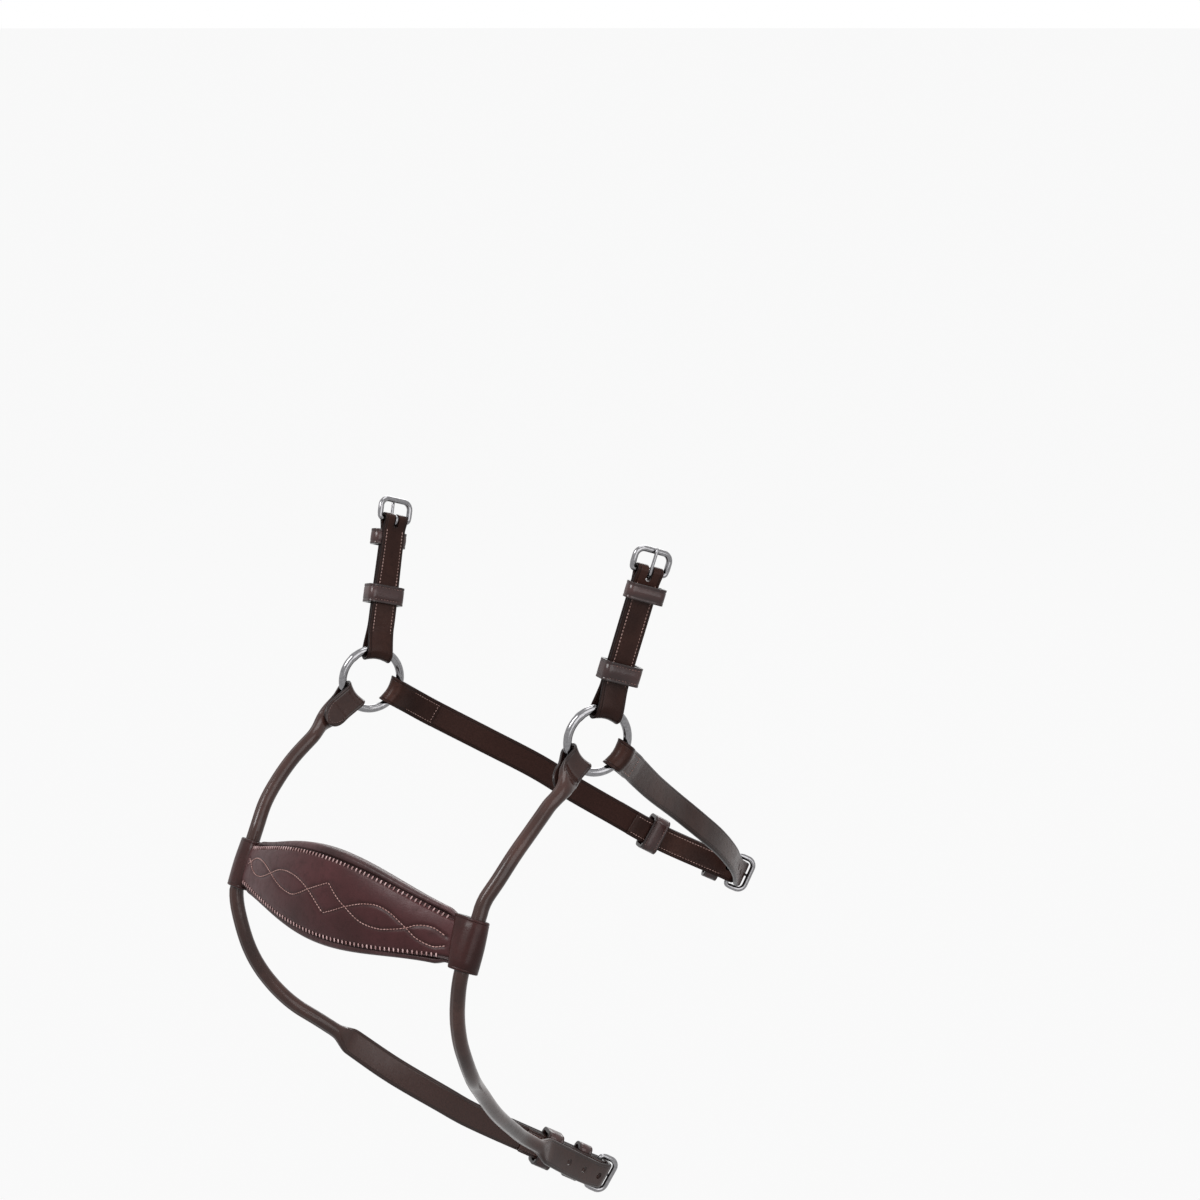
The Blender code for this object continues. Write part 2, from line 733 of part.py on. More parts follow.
def roll_knots(side):
    """Route of a rolled strap down through its cuff and along the chin arm."""
    cuff = (CUFF_FORWARD, CUFF_DROP)
    chin = (-CHIN_REACH, CHIN_DROP)
    centre = cuff_centre(side)
    half = CUFF_HEIGHT / 2 + CUFF_SLIDE
    knots = route(side, UPPER_ROLL_SHARES, (0.0, 0.0), cuff)
    knots += [centre + CUFF_AXIS * (half * share) for share in CUFF_RUN_SHARES]
    knots += route(side, LOWER_ROLL_SHARES + CHIN_ARM_SHARES, cuff, chin)
    return knots


def roll_head(course, anchor, way):
    """Loops of points from the leaf shaped tab, round the ring and into the round roll."""
    tab = [(along, LAYER_OFFSET) for along in (ROLL_TAB_LENGTH, ROLL_TAB_SHOULDER, LOOP_TAPER)]
    widths = (ROLL_TAB_TIP_WIDTH, STRAP_WIDTH, STRAP_WIDTH)
    line = []
    for (along, off), width in zip(facing(tab, way), widths):
        line += dress([(along, off)], LAYER_THICKNESS, width)
    bend = [(along, -off) for along, off in bend_line(RING_LOOP_RADIUS)]
    line += dress(facing(bend, way), LOOP_THICKNESS)
    throat = -LAYER_OFFSET * ROLL_THROAT_RISE_SHARE * way
    line += dress([(LOOP_TAPER * ROLL_THROAT_SHARE, throat)], LOOP_THICKNESS)
    rings = strip_rings(course, line, anchor)
    settled = ROLL_TAB_LENGTH + ROLL_SETTLE
    for share in ROLL_CLOSING_SHARES:
        along = settled * share
        swell = ease((share - ROLL_SWELL_START_SHARE) / ROLL_SWELL_SPAN_SHARE)
        width = mix(STRAP_WIDTH, ROLL_DIAMETER, swell)
        thickness = mix(LAYER_THICKNESS, ROLL_DIAMETER, swell)
        rise = ease((along - ROLL_TAB_LENGTH) / ROLL_SETTLE)
        off = mix(-(LAYER_GAP + thickness) / 2 * way, 0.0, rise)
        roundness = min(1.0, swell * ROLL_ROUNDING_SHARE)
        rings.append(roll_ring(course, along, off, width, thickness, roundness))
    return rings, settled


def roll_rings(course, start, end):
    """Loops of points along a plain stretch of round roll."""
    count = max(2, ceil((end - start) / (COURSE_STEP * ROLL_SLICE_SHARE)))
    return [roll_ring(course, mix(start, end, i / count), 0.0, ROLL_DIAMETER, ROLL_DIAMETER, 1.0)
            for i in range(1, count)]


def opening_rings(course, start, off):
    """Loops of points where a roll opens out into a flat strap."""
    rings = []
    for share in ROLL_OPENING_SHARES:
        open_share = ease(share)
        rings.append(roll_ring(
            course, start + ROLL_OPENING * share, mix(0.0, off, open_share),
            mix(ROLL_DIAMETER, STRAP_WIDTH, open_share),
            mix(ROLL_DIAMETER, BILLET_THICKNESS, open_share), 1 - open_share))
    return rings


def fold_rings(course, turn, tail):
    """Loops of points where a billet folds through the buckle and lies back on the strap."""
    centre = course.length + BILLET_FOLD_REACH
    line = []
    for i in range(BEND_STEPS + 1):
        angle = mix(turn, pi / 2, i / BEND_STEPS)
        line.append((centre + BILLET_FOLD_RADIUS * cos(angle), BILLET_FOLD_RADIUS * sin(angle)))
    taper = course.length - HEEL_TAPER
    ease_off = mix(TAIL_OFFSET, BILLET_FOLD_RADIUS, BILLET_EASE_SHARE)
    line.append((course.length - HEEL_TAPER / 2, ease_off))
    line.append((taper, TAIL_OFFSET))
    body_end = course.stop(course.length - tail)
    line += course.between(body_end, taper, TAIL_OFFSET)[::-1]
    line.append((body_end, TAIL_OFFSET))
    rings = strip_rings(course, dress(line, BILLET_THICKNESS))
    tip = [(body_end, TAIL_OFFSET), (body_end - TAIL_TIP_LENGTH, TAIL_OFFSET)]
    return rings + strip_rings(course, dress(tip, BILLET_THICKNESS, TAIL_TIP_WIDTH))[1:]


def arrive(seat, source):
    """Knots by which a billet comes up through the buckle, and the angle its bend starts at."""
    offset = source - seat.bar
    reach = Vector((offset.dot(seat.ahead) - BILLET_FOLD_REACH, offset.dot(seat.outward)))
    turn = atan2(reach[1], reach[0]) + acos(BILLET_FOLD_RADIUS / reach.length)
    end = Vector((cos(turn), sin(turn))) * BILLET_FOLD_RADIUS
    lead = end - Vector((-sin(turn), cos(turn))) * BILLET_LEAD
    knots = [seat.spot(BILLET_FOLD_REACH + spot[0], spot[1]) for spot in (lead, end)]
    return knots, turn


def punch_billet(strap, course, seat):
    """Row of holes on the billet's near side and the one that the tongue is through."""
    for index in range(HOLE_COUNT):
        along = course.length - FIRST_HOLE_AT - HOLE_PITCH * index
        point, ahead, across, off_side = course.frame(along)
        punch(strap, index + 1, point, off_side, across, HOLE_DIAMETER)
    rest = (FRAME_WIRE + TONGUE_WIRE) / 2 + TONGUE_REST_GAP
    reach = BILLET_FOLD_REACH + sqrt(BILLET_FOLD_RADIUS ** 2 - rest ** 2)
    punch(strap, "tongue", seat.spot(reach, rest), seat.ahead, seat.across, TONGUE_HOLE_DIAMETER)


def make_rolled_straps():
    """Two rolled cheek straps that open out into the chin strap and its billet."""
    courses = {}
    for side in (-1, 1):
        knots = roll_knots(side)
        anchor = Anchor(side, knots[0])
        way = -side
        lead = (knots[0] - anchor.wire).length
        first = [anchor.wire, anchor.wire + anchor.ahead * (lead / 2)]
        low = mirrored(CHIN_WIDTH_DIRECTION, side)
        widths = [(0.0, anchor.tangent), (ROLL_HOLD_SHARE, anchor.tangent),
                  (MIDWAY_SHARE, BACK), (BUCKLE_HOLD_SHARE, low)]
        if side < 0:
            last = [below(1, CHIN_BAR_SIDE, -CHIN_REACH, CHIN_DROP)]
        else:
            last, turn = arrive(seat, knots[-1])
            widths += [(1.0, seat.across)]
        course = Course(first + knots + last, widths)
        courses[side] = course
        rings, settled = roll_head(course, anchor, way)
        if side < 0:
            seat = Seat(course, 1)
            end = course.length - RIGHT_ROLL_END
            tip = course.stop(course.length - CHIN_BUCKLE_TURNBACK)
            rings += roll_rings(course, settled, end)
            rings += opening_rings(course, end, SINGLE_OFFSET)
            body = course.between(end + ROLL_OPENING + COURSE_STEP / 3, tip, SINGLE_OFFSET)
            line = dress(body, BILLET_THICKNESS) + heel_end(course, CHIN_BUCKLE_TURNBACK, 1)
            rings += strip_rings(course, line)
            strap = place("rolled_strap_right", skin(rings, False), leather, RING_LINE)
            cut_tongue_slot(strap, seat)
        else:
            end = course.length - LEFT_ROLL_END
            rings += roll_rings(course, settled, end)
            rings += opening_rings(course, end, 0.0)
            body = course.between(end + ROLL_OPENING + COURSE_STEP / 3, course.length, 0.0)
            rings += strip_rings(course, dress(body, BILLET_THICKNESS))
            rings += fold_rings(courses[-1], turn, CHIN_TAIL)
            strap = place("rolled_strap_left", skin(rings, False), leather, RING_LINE)
            punch_billet(strap, course, seat)
    make_closed_buckle("chin", courses[-1], seat, CHIN_RUNNING_KEEPER_AT)


def make_jaw_strap():
    """Jaw strap: the right half carries the buckle and the left half is the billet."""
    jaw = (-JAW_REACH, JAW_DROP)
    courses = {}
    for side in (-1, 1):
        knots = route(side, JAW_ARM_SHARES, (0.0, 0.0), jaw)
        anchor = Anchor(side, knots[0])
        way = -side
        first = [anchor.wire, anchor.wire + anchor.ahead * ((knots[0] - anchor.wire).length / 3)]
        low = mirrored(JAW_WIDTH_DIRECTION, side)
        widths = [(0.0, anchor.tangent), (RING_HOLD_SHARE, anchor.tangent), (MIDWAY_SHARE, low)]
        if side < 0:
            last = [below(1, JAW_BAR_SIDE, -JAW_REACH, JAW_DROP)]
        else:
            last, turn = arrive(seat, knots[-1])
            widths += [(BUCKLE_HOLD_SHARE, low), (1.0, seat.across)]
        course = Course(first + knots + last, widths)
        courses[side] = course
        line = ring_end(course, JAW_RING_TURNBACK, way)
        tip = course.stop(JAW_RING_TURNBACK)
        if side < 0:
            seat = Seat(course, 1)
            far_tip = course.stop(course.length - JAW_BUCKLE_TURNBACK)
            line += dress(course.between(tip, far_tip, SINGLE_OFFSET), BILLET_THICKNESS)
            line += heel_end(course, JAW_BUCKLE_TURNBACK, 1)
            rings = strip_rings(course, line, anchor)
            strap = place("jaw_strap_right", skin(rings, False), leather, RING_LINE)
            cut_tongue_slot(strap, seat)
        else:
            line += dress(course.between(tip, course.length, 0.0), BILLET_THICKNESS)
            rings = strip_rings(course, line, anchor)
            rings += fold_rings(courses[-1], turn, JAW_TAIL)
            strap = place("jaw_strap_left", skin(rings, False), leather, RING_LINE)
            punch_billet(strap, course, seat)
    make_closed_buckle("jaw", courses[-1], seat, JAW_RUNNING_KEEPER_AT)


def mirrored(direction, side):
    """Direction given for the right side, on either side."""
    return Vector((-direction[0] * side, direction[1], direction[2]))


def make_closed_buckle(label, course, seat, running_at):
    """Buckle, tongue and two keepers of a strap that is done up."""
    make_frame(f"{label}_buckle", seat)
    make_tongue(f"{label}_tongue", seat)
    make_keeper(f"{label}_fixed_keeper", course, FIXED_KEEPER_AT, 1,
                FIXED_KEEPER_WIDTH, RING_LINE)
    make_keeper(f"{label}_slide_keeper", course, running_at, 1, RUNNING_KEEPER_WIDTH)


def nose_frame(share):
    """Point, up and forward directions of the nosepiece's front, from -1 right to 1 left."""
    def middle(place_share):
        swing = 1 - cos(pi / 2 * place_share)
        return RING_LINE + Vector((
            NOSE_HALF_LENGTH * place_share,
            NOSE_BOW * swing - NOSE_FORWARD,
            -NOSE_DROP - NOSE_END_SINK * swing,
        ))

    step = NOSE_SLOPE_SHARE
    along = (middle(share + step) - middle(share - step)).normalized()
    lean = mix(NOSE_LEAN, CUFF_LEAN, share * share)
    up = square_to(Vector((0.0, sin(lean), cos(lean))), along)
    return middle(share), up, along.cross(up)


def swell_height(middle, end, share):
    """Height of a nosepiece layer, full in the middle and drawn in towards the cuffs."""
    return mix(end, middle, abs(cos(pi / 2 * share)) ** NOSE_SWELL_POWER)


def make_nosepiece():
    """Raised front band, and the wider pad behind it, both bowed round the nose."""
    shares = [i / NOSE_SLICES for i in range(-NOSE_SLICES, NOSE_SLICES + 1)]
    front_rings, pad_rings = [], []
    for share in shares:
        point, up, forward = nose_frame(share)
        half = swell_height(FRONT_MIDDLE_HEIGHT, FRONT_END_HEIGHT, share) / 2
        crown = FRONT_CROWN * (1 - share ** 4 / 2)
        ring = [point + up * (half * rise) + forward * (crown * proud)
                for rise, proud in FRONT_OUTLINE_SHARES]
        ring += [point + up * (half * rise) - forward * FRONT_THICKNESS
                 for rise, _ in reversed(FRONT_OUTLINE_SHARES)]
        front_rings.append(ring)
        half = swell_height(PAD_MIDDLE_HEIGHT, PAD_END_HEIGHT, share) / 2
        depth = mix(PAD_THICKNESS, PAD_END_THICKNESS, share * share)
        back = point - forward * (FRONT_THICKNESS + LAYER_GAP)
        pad_rings.append([back + up * (half * rise) + forward * (depth * deep)
                          for rise, deep in PAD_OUTLINE_SHARES])
    middle = below(0, 0.0, CUFF_FORWARD, CUFF_DROP)
    place("nose_front", skin(front_rings, False), leather, middle)
    place("nose_pad", skin(pad_rings, False), leather, middle)
    for label, side in (("left", 1), ("right", -1)):
        make_cuff(label, side, middle)


def cuff_reach(angle, neck, front, back):
    """Distance from the roll's axis to the cuff's outside, squared off where it meets the band."""
    round_wall = ROLL_RADIUS + CUFF_CLEARANCE + CUFF_WALL
    inward = -cos(angle)
    if inward <= 0:
        return round_wall
    limit = front if sin(angle) > 0 else back
    height = abs(sin(angle))
    flat = limit / height if height * neck > limit * inward else neck / inward
    return max(flat, round_wall) if inward < CUFF_SQUARE_SHARE else flat


def make_cuff(label, side, origin):
    """Leather sleeve at the nosepiece's end, bored for the rolled strap."""
    centre = cuff_centre(side)
    forward = Vector((0.0, -cos(CUFF_LEAN), sin(CUFF_LEAN)))
    aside = LEFT * side
    neck = CUFF_HALF_SPAN - NOSE_HALF_LENGTH - LAYER_GAP
    front = ROLL_RADIUS + CUFF_CLEARANCE + CUFF_WALL
    back = CUFF_NECK_THICKNESS - front
    bore = ROLL_RADIUS + CUFF_CLEARANCE
    outside, inside = [], []
    for k in range(CUFF_SIDES):
        angle = 2 * pi * (k + 0.5) / CUFF_SIDES
        reach = cuff_reach(angle, neck, front, back)
        outside.append((reach * cos(angle), reach * sin(angle)))
        inside.append((bore * cos(angle), bore * sin(angle)))
    rings = []
    for loop, level in ((outside, -1), (outside, 1), (inside, 1), (inside, -1)):
        middle = centre + CUFF_AXIS * (level * CUFF_HEIGHT / 2)
        rings.append([middle + aside * reach + forward * proud for reach, proud in loop])
    place(f"cuff_{label}", skin(rings, True), leather, origin)


def main():
    """Build the whole noseband."""
    clear_scene()
    make_ring("left", 1)
    make_ring("right", -1)
    make_hanger("left", 1, LEFT_HANGER_TURN, LEFT_RUNNING_KEEPER_AT)
    make_hanger("right", -1, RIGHT_HANGER_TURN, RIGHT_RUNNING_KEEPER_AT)
    make_rolled_straps()
    make_jaw_strap()
    make_nosepiece()


main()
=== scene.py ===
"""Looks of a bridle noseband: shaped leather, thread, polished steel and a pale studio.

The noseband hangs from its two upper buckles, midway between which the origin lies. X points
to the horse's left, -Y to its muzzle and +Z up. Side +1 is the left (near) side and side -1
the right (off) side. Lengths are in metres.
"""

import json
import logging
from dataclasses import dataclass, field
from enum import Enum
from itertools import accumulate
from math import acos, atan2, ceil, cos, exp, hypot, pi, radians, sin, sqrt
from typing import Callable, Iterable, NamedTuple, Optional, Sequence, TypeVar

import bpy
import numpy as np
from mathutils import Matrix, Vector


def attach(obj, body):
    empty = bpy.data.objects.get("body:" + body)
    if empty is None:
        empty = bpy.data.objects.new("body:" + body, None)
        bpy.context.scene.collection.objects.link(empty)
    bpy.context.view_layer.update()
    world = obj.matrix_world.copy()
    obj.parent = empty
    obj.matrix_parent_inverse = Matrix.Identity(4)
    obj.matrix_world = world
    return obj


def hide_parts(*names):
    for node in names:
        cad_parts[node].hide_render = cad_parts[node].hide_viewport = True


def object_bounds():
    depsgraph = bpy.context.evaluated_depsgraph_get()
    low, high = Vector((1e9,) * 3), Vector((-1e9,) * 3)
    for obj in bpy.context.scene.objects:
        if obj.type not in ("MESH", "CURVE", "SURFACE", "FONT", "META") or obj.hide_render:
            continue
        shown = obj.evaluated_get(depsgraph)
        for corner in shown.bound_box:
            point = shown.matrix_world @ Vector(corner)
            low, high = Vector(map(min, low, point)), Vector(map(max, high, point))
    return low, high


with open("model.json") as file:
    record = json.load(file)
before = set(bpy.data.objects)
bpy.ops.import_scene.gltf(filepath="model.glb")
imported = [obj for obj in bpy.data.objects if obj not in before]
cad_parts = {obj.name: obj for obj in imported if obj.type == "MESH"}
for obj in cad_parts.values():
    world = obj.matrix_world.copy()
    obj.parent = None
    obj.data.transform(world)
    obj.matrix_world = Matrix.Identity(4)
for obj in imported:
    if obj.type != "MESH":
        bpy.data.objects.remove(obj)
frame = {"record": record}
CAD_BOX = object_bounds()
LOG = logging.getLogger("noseband")
Mixed = TypeVar("Mixed", float, Vector, np.ndarray)
Output = bpy.types.NodeSocket

UP = Vector((0.0, 0.0, 1.0))
LEFT = Vector((1.0, 0.0, 0.0))
BACK = Vector((0.0, 1.0, 0.0))


class Slot(Enum):
    """Material slots of the noseband."""

    STRAP = "strap_leather"
    NOSE = "nosepiece_leather"
    PADDING = "padding_leather"
    STEEL = "stainless_steel"


class Side(Enum):
    """The two sides of the horse's head."""

    LEFT = 1
    RIGHT = -1

    @property
    def label(self) -> str:
        """Name of the side in lower case."""
        return self.name.lower()


def mix(low: Mixed, high: Mixed, share: float) -> Mixed:
    """Value between two numbers, points or rows."""
    return low + (high - low) * share


def ease(share: float) -> float:
    """Smooth step from 0 to 1."""
    share = min(max(share, 0.0), 1.0)
    return share * share * (3 - 2 * share)


def square_to(vector: Vector, axis: Vector) -> Vector:
    """Unit vector made square to an axis."""
    return (vector - axis * vector.dot(axis)).normalized()


def axes(ahead: Vector, across: Vector, outward: Vector, place: Vector) -> Matrix:
    """Matrix that puts X across, Y ahead and Z outward at a place.

    Args:
        ahead: Direction of the matrix's Y.
        across: Direction of its X.
        outward: Direction of its Z.
        place: Where its origin goes.

    Returns:
        The matrix.
    """
    matrix = Matrix.Identity(4)
    for column, way in enumerate((across, ahead, outward)):
        matrix[0][column], matrix[1][column], matrix[2][column] = way
    matrix.translation = place
    return matrix


def spline(knots: Sequence, size: Callable, step: float = 0.0) -> list:
    """Dense points of a smooth curve through knots, up to but without the last one.

    Args:
        knots: Points or rows that the curve passes.
        size: Gives the length of the way from one knot to another.
        step: Longest step between points, or 0 for twelve steps from knot to knot.

    Returns:
        The points.
    """
    ends = [knots[0] * 2 - knots[1], *knots, knots[-1] * 2 - knots[-2]]
    dense = []
    for before, start, end, after in zip(ends, ends[1:], ends[2:], ends[3:]):
        lead, own, trail = (sqrt(size(q - p))
                            for p, q in ((before, start), (start, end), (end, after)))
        pull = end - start
        leave = pull + ((start - before) / lead - (end - before) / (lead + own)) * own
        enter = pull + ((after - end) / trail - (after - start) / (own + trail)) * own
        count = max(1, ceil(size(pull) / step)) if step else 12
        for i in range(count):
            t = i / count
            square, cube = t * t, t * t * t
            dense.append(start * (2 * cube - 3 * square + 1) + leave * (cube - 2 * square + t)
                         + end * (3 * square - 2 * cube) + enter * (cube - square))
    return dense


def distances(points: Sequence[Vector]) -> list[float]:
    """Distance along a line of points to each of them."""
    return [0.0, *accumulate((end - start).length for start, end in zip(points, points[1:]))]


def smooth_points(knots: Sequence[Vector], step: float) -> list[Vector]:
    """Even steps along a smooth curve through the knots.

    Args:
        knots: Points that the curve passes.
        step: Longest step along the curve.

    Returns:
        The points of the curve.
    """
    dense = spline(knots, lambda way: way.length) + [knots[-1].copy()]
    lengths = distances(dense)
    count = max(2, ceil(lengths[-1] / step))
    picked = []
    index = 0
    for i in range(count + 1):
        goal = lengths[-1] * i / count
        while index < len(dense) - 2 and lengths[index + 1] < goal:
            index += 1
        span = lengths[index + 1] - lengths[index]
        picked.append(mix(dense[index], dense[index + 1], (goal - lengths[index]) / span))
    return picked


@dataclass(frozen=True)
class Leather:
    """Widths and thicknesses of the straps."""

    width: float = 0.0140
    layer: float = 0.0018
    loop: float = 0.0016
    billet: float = 0.0024
    gap: float = 0.0004
    loop_taper: float = 0.0110
    heel_taper: float = 0.0050
    sag_fade: float = 0.0120
    skived: float = 0.0009
    skive_length: float = 0.0030
    stop_step: float = 0.0100
    fine_step: float = 0.0040
    groove: float = 0.00016
    groove_inset: float = 0.00145

    @property
    def offset(self) -> float:
        """Middle of a layer of a doubled strap."""
        return (self.gap + self.layer) / 2

    @property
    def single_offset(self) -> float:
        """Middle of a strap that is flush with the outer layer of its doubled end."""
        return self.offset + (self.layer - self.billet) / 2

    @property
    def tail_offset(self) -> float:
        """Middle of a billet's tail that lies on a doubled strap."""
        return self.offset + (self.layer + self.billet) / 2 + self.gap


@dataclass(frozen=True)
class RingPlaces:
    """Sizes of the two rings and the line through their centres."""

    half_span: float = 0.0838
    forward: float = 0.0251
    drop: float = 0.0801
    outer_diameter: float = 0.0360
    wire: float = 0.0042
    turn: float = radians(20.0)
    play: float = 0.0013

    @property
    def line(self) -> Vector:
        """Point midway between the two ring centres."""
        return Vector((0.0, -self.forward, -self.drop))

    @property
    def mean_radius(self) -> float:
        """Radius to the middle of the wire."""
        return (self.outer_diameter - self.wire) / 2

    @property
    def normal(self) -> Vector:
        """Axis of both rings."""
        return Vector((cos(self.turn), -sin(self.turn), 0.0))

    @property
    def back(self) -> Vector:
        """Level direction in the plane of both rings."""
        return Vector((sin(self.turn), cos(self.turn), 0.0))

    def centre(self, side: Side) -> Vector:
        """Centre of the ring on one side."""
        return self.line + LEFT * (side.value * self.half_span)

    def below(self, way: float, span: float, forward: float, drop: float) -> Vector:
        """Point given by its half span, its way forward of the ring line and its drop."""
        return self.line + Vector((way * span, -forward, -drop))


LEATHER = Leather()
RINGS = RingPlaces()
LOOP_RADIUS = RINGS.wire / 2 + RINGS.play + LEATHER.loop / 2


def linear(red: int, green: int, blue: int) -> tuple[float, float, float, float]:
    """Linear colour of a display colour from 0 to 255."""
    return (*(((v / 255 + 0.055) / 1.055) ** 2.4 if v > 10 else v / 3294.6
              for v in (red, green, blue)), 1.0)


class Nodes:
    """Adds nodes to the tree of a material or a world, with their values and links."""

    def __init__(self, owner: bpy.types.ID) -> None:
        """Take the material or world that the nodes are for."""
        owner.use_nodes = True
        self.tree = owner.node_tree

    def fill(self, node: bpy.types.Node, inputs: dict) -> None:
        """Set each named or numbered input to a value, or link it to an output.

        Args:
            node: The node.
            inputs: Value or source of each input.
        """
        for key, value in inputs.items():
            if isinstance(value, Output):
                self.tree.links.new(value, node.inputs[key])
            else:
                node.inputs[key].default_value = value

    def add(self, kind: str, inputs: dict, output: int | str = 0, **settings) -> Output:
        """Add a node and fill it.

        Args:
            kind: Type of the node, such as Math.
            inputs: Value or source of each named or numbered input.
            output: Name or number of the output to give.
            settings: The node's other settings.

        Returns:
            The output.
        """
        node = self.tree.nodes.new(f"ShaderNode{kind}")
        for key, value in settings.items():
            setattr(node, key, value)
        self.fill(node, inputs)
        return node.outputs[output]

    def ramp(self, source: Output, places: tuple, colours: tuple) -> Output:
        """Colour that goes from one to the other between two values of a source.

        Args:
            source: Output that the colour follows.
            places: The two values.
            colours: The two colours.

        Returns:
            The colour's output.
        """
        node = self.tree.nodes.new("ShaderNodeValToRGB")
        for element, place, colour in zip(node.color_ramp.elements, places, colours):
            element.position = place
            element.color = colour
        self.fill(node, {"Fac": source})
        return node.outputs["Color"]


def principled(name: str) -> tuple[bpy.types.Material, Nodes, bpy.types.Node]:
    """New material with its nodes and its shader.

    Args:
        name: Name of the material.

    Returns:
        The material, the helper that adds to its tree, and its main shader.
    """
    made = bpy.data.materials.new(name)
    nodes = Nodes(made)
    return made, nodes, nodes.tree.nodes["Principled BSDF"]


@dataclass(frozen=True)
class LeatherFinish:
    """Dyed and waxed bridle leather with a fine grain.

    Attributes:
        deep: Darkest colour of the dye.
        warm: Reddish colour that shows through it.
        rim: Colour of the burnished edges and pressed lines, also painted as shade into the
            front's stitched dips.
        flesh: Colour of the unfinished inner face.
        roughness: Least and greatest roughness of the waxed face.
        grain: Depth of the pebble grain.
        grain_scale: Scale of the pebbles.
        blotch_scale: Scale of the dye's blotches.
        shine: Level of the wax's mirroring.
    """

    deep: tuple = linear(46, 29, 25)
    warm: tuple = linear(66, 43, 37)
    rim: tuple = linear(25, 15, 14)
    flesh: tuple = linear(64, 41, 36)
    roughness: tuple = (0.24, 0.38)
    grain: float = 0.00003
    grain_scale: float = 1500.0
    blotch_scale: float = 38.0
    shine: float = 0.08

    def material(self, name: str) -> bpy.types.Material:
        """Material of this leather, which reads the rim and flesh attributes.

        Args:
            name: Name of the material.

        Returns:
            The material.
        """
        made, nodes, shader = principled(name)
        place = nodes.add("TexCoord", {}, "Object")

        def noise(share: float, detail: float, rough: float) -> Output:
            """Noise over the piece's own place, as many times finer than the blotches."""
            return nodes.add("TexNoise", {"Vector": place, "Scale": self.blotch_scale * share,
                                          "Detail": detail, "Roughness": rough}, "Fac")

        def span(source: Output, low: float, high: float, least: float,
                 most: float) -> Output:
            """Value stretched from one span to another."""
            return nodes.add("MapRange", {"Value": source, "From Min": low, "From Max": high,
                                          "To Min": least, "To Max": most}, "Result")

        def blend(factor: Output, first: Output | tuple, second: Output | tuple) -> Output:
            """Mix of two colours."""
            return nodes.add("Mix", {"Factor": factor, 6: first, 7: second}, 2,
                             data_type="RGBA")

        def attribute(key: str) -> Output:
            """Value painted on the piece's points."""
            return nodes.add("Attribute", {}, "Fac", attribute_name=key)

        flecks = noise(11, 5.0, 0.65)
        fleck_shade = tuple(v * 0.72 for v in self.deep[:3]) + (1.0,)
        dyed = blend(span(noise(1, 4.0, 0.55), 0.34, 0.68, 0.0, 1.0), self.deep, self.warm)
        dyed = blend(span(flecks, 0.50, 0.78, 0.0, 0.75), dyed, fleck_shade)
        suede = blend(span(noise(34, 4.0, 0.7), 0.38, 0.66, 0.0, 0.8), self.flesh, self.deep)
        faced = blend(attribute("flesh"), dyed, suede)
        worn = span(flecks, 0.35, 0.7, *self.roughness)
        pebbles = nodes.add("TexVoronoi", {"Vector": place, "Scale": self.grain_scale},
                            "Distance")
        grain = nodes.add("Bump", {"Strength": 0.55, "Distance": self.grain,
                                   "Height": pebbles}, "Normal")
        waves = nodes.add("Bump", {"Strength": 0.5, "Distance": self.grain * 5,
                                   "Height": noise(5, 3.0, 0.5), "Normal": grain}, "Normal")
        dulled = nodes.add("Math", {0: attribute("flesh"), 1: 0.10, 2: worn},
                           operation="MULTIPLY_ADD")
        # The rim attribute brings burnished edges and pressed lines, and on the front also painted
        # shade in the stitched dips.
        nodes.fill(shader, {"Base Color": blend(attribute("rim"), faced, self.rim),
                            "Roughness": dulled, "Specular IOR Level": self.shine,
                            "Normal": waves})
        return made


@dataclass(frozen=True)
class SteelFinish:
    """Polished stainless steel with faint handling marks."""

    bright: tuple = linear(138, 137, 139)
    dull: tuple = linear(118, 117, 119)
    roughness: tuple = (0.10, 0.20)

    def material(self, name: str) -> bpy.types.Material:
        """Material of this steel.

        Args:
            name: Name of the material.

        Returns:
            The material.
        """
        made, nodes, shader = principled(name)
        place = nodes.add("TexCoord", {}, "Object")
        marks = nodes.add("TexNoise", {"Vector": place, "Scale": 900.0, "Detail": 6.0}, "Fac")
        spread = nodes.add("MapRange", {"Value": marks, "To Min": self.roughness[0],
                                        "To Max": self.roughness[1]}, "Result")
        shade = nodes.ramp(marks, (0.32, 0.60), (self.dull, self.bright))
        nodes.fill(shader, {"Metallic": 1.0, "Base Color": shade, "Roughness": spread})
        return made


@dataclass(frozen=True)
class ThreadFinish:
    """Waxed thread, twisted from plies."""

    pale: tuple
    soiled: tuple

    def material(self, name: str) -> bpy.types.Material:
        """Material of this thread.

        Args:
            name: Name of the material.

        Returns:
            The material.
        """
        made, nodes, shader = principled(name)
        place = nodes.add("TexCoord", {}, "Object")
        soil = nodes.add("TexNoise", {"Vector": place, "Scale": 160.0, "Detail": 5.0}, "Fac")
        twist = nodes.add("TexWave", {"Vector": place, "Scale": 900.0}, "Fac")
        bump = nodes.add("Bump", {"Strength": 0.4, "Distance": 0.0001, "Height": twist},
                         "Normal")
        shade = nodes.ramp(soil, (0.38, 0.62), (self.soiled, self.pale))
        nodes.fill(shader, {"Roughness": 0.62, "Sheen Weight": 0.2, "Base Color": shade,
                            "Normal": bump})
        return made


class Thread(NamedTuple):
    """Length and thickness of a stitch, and the material of its thread."""

    length: float
    thick: float
    finish: bpy.types.Material


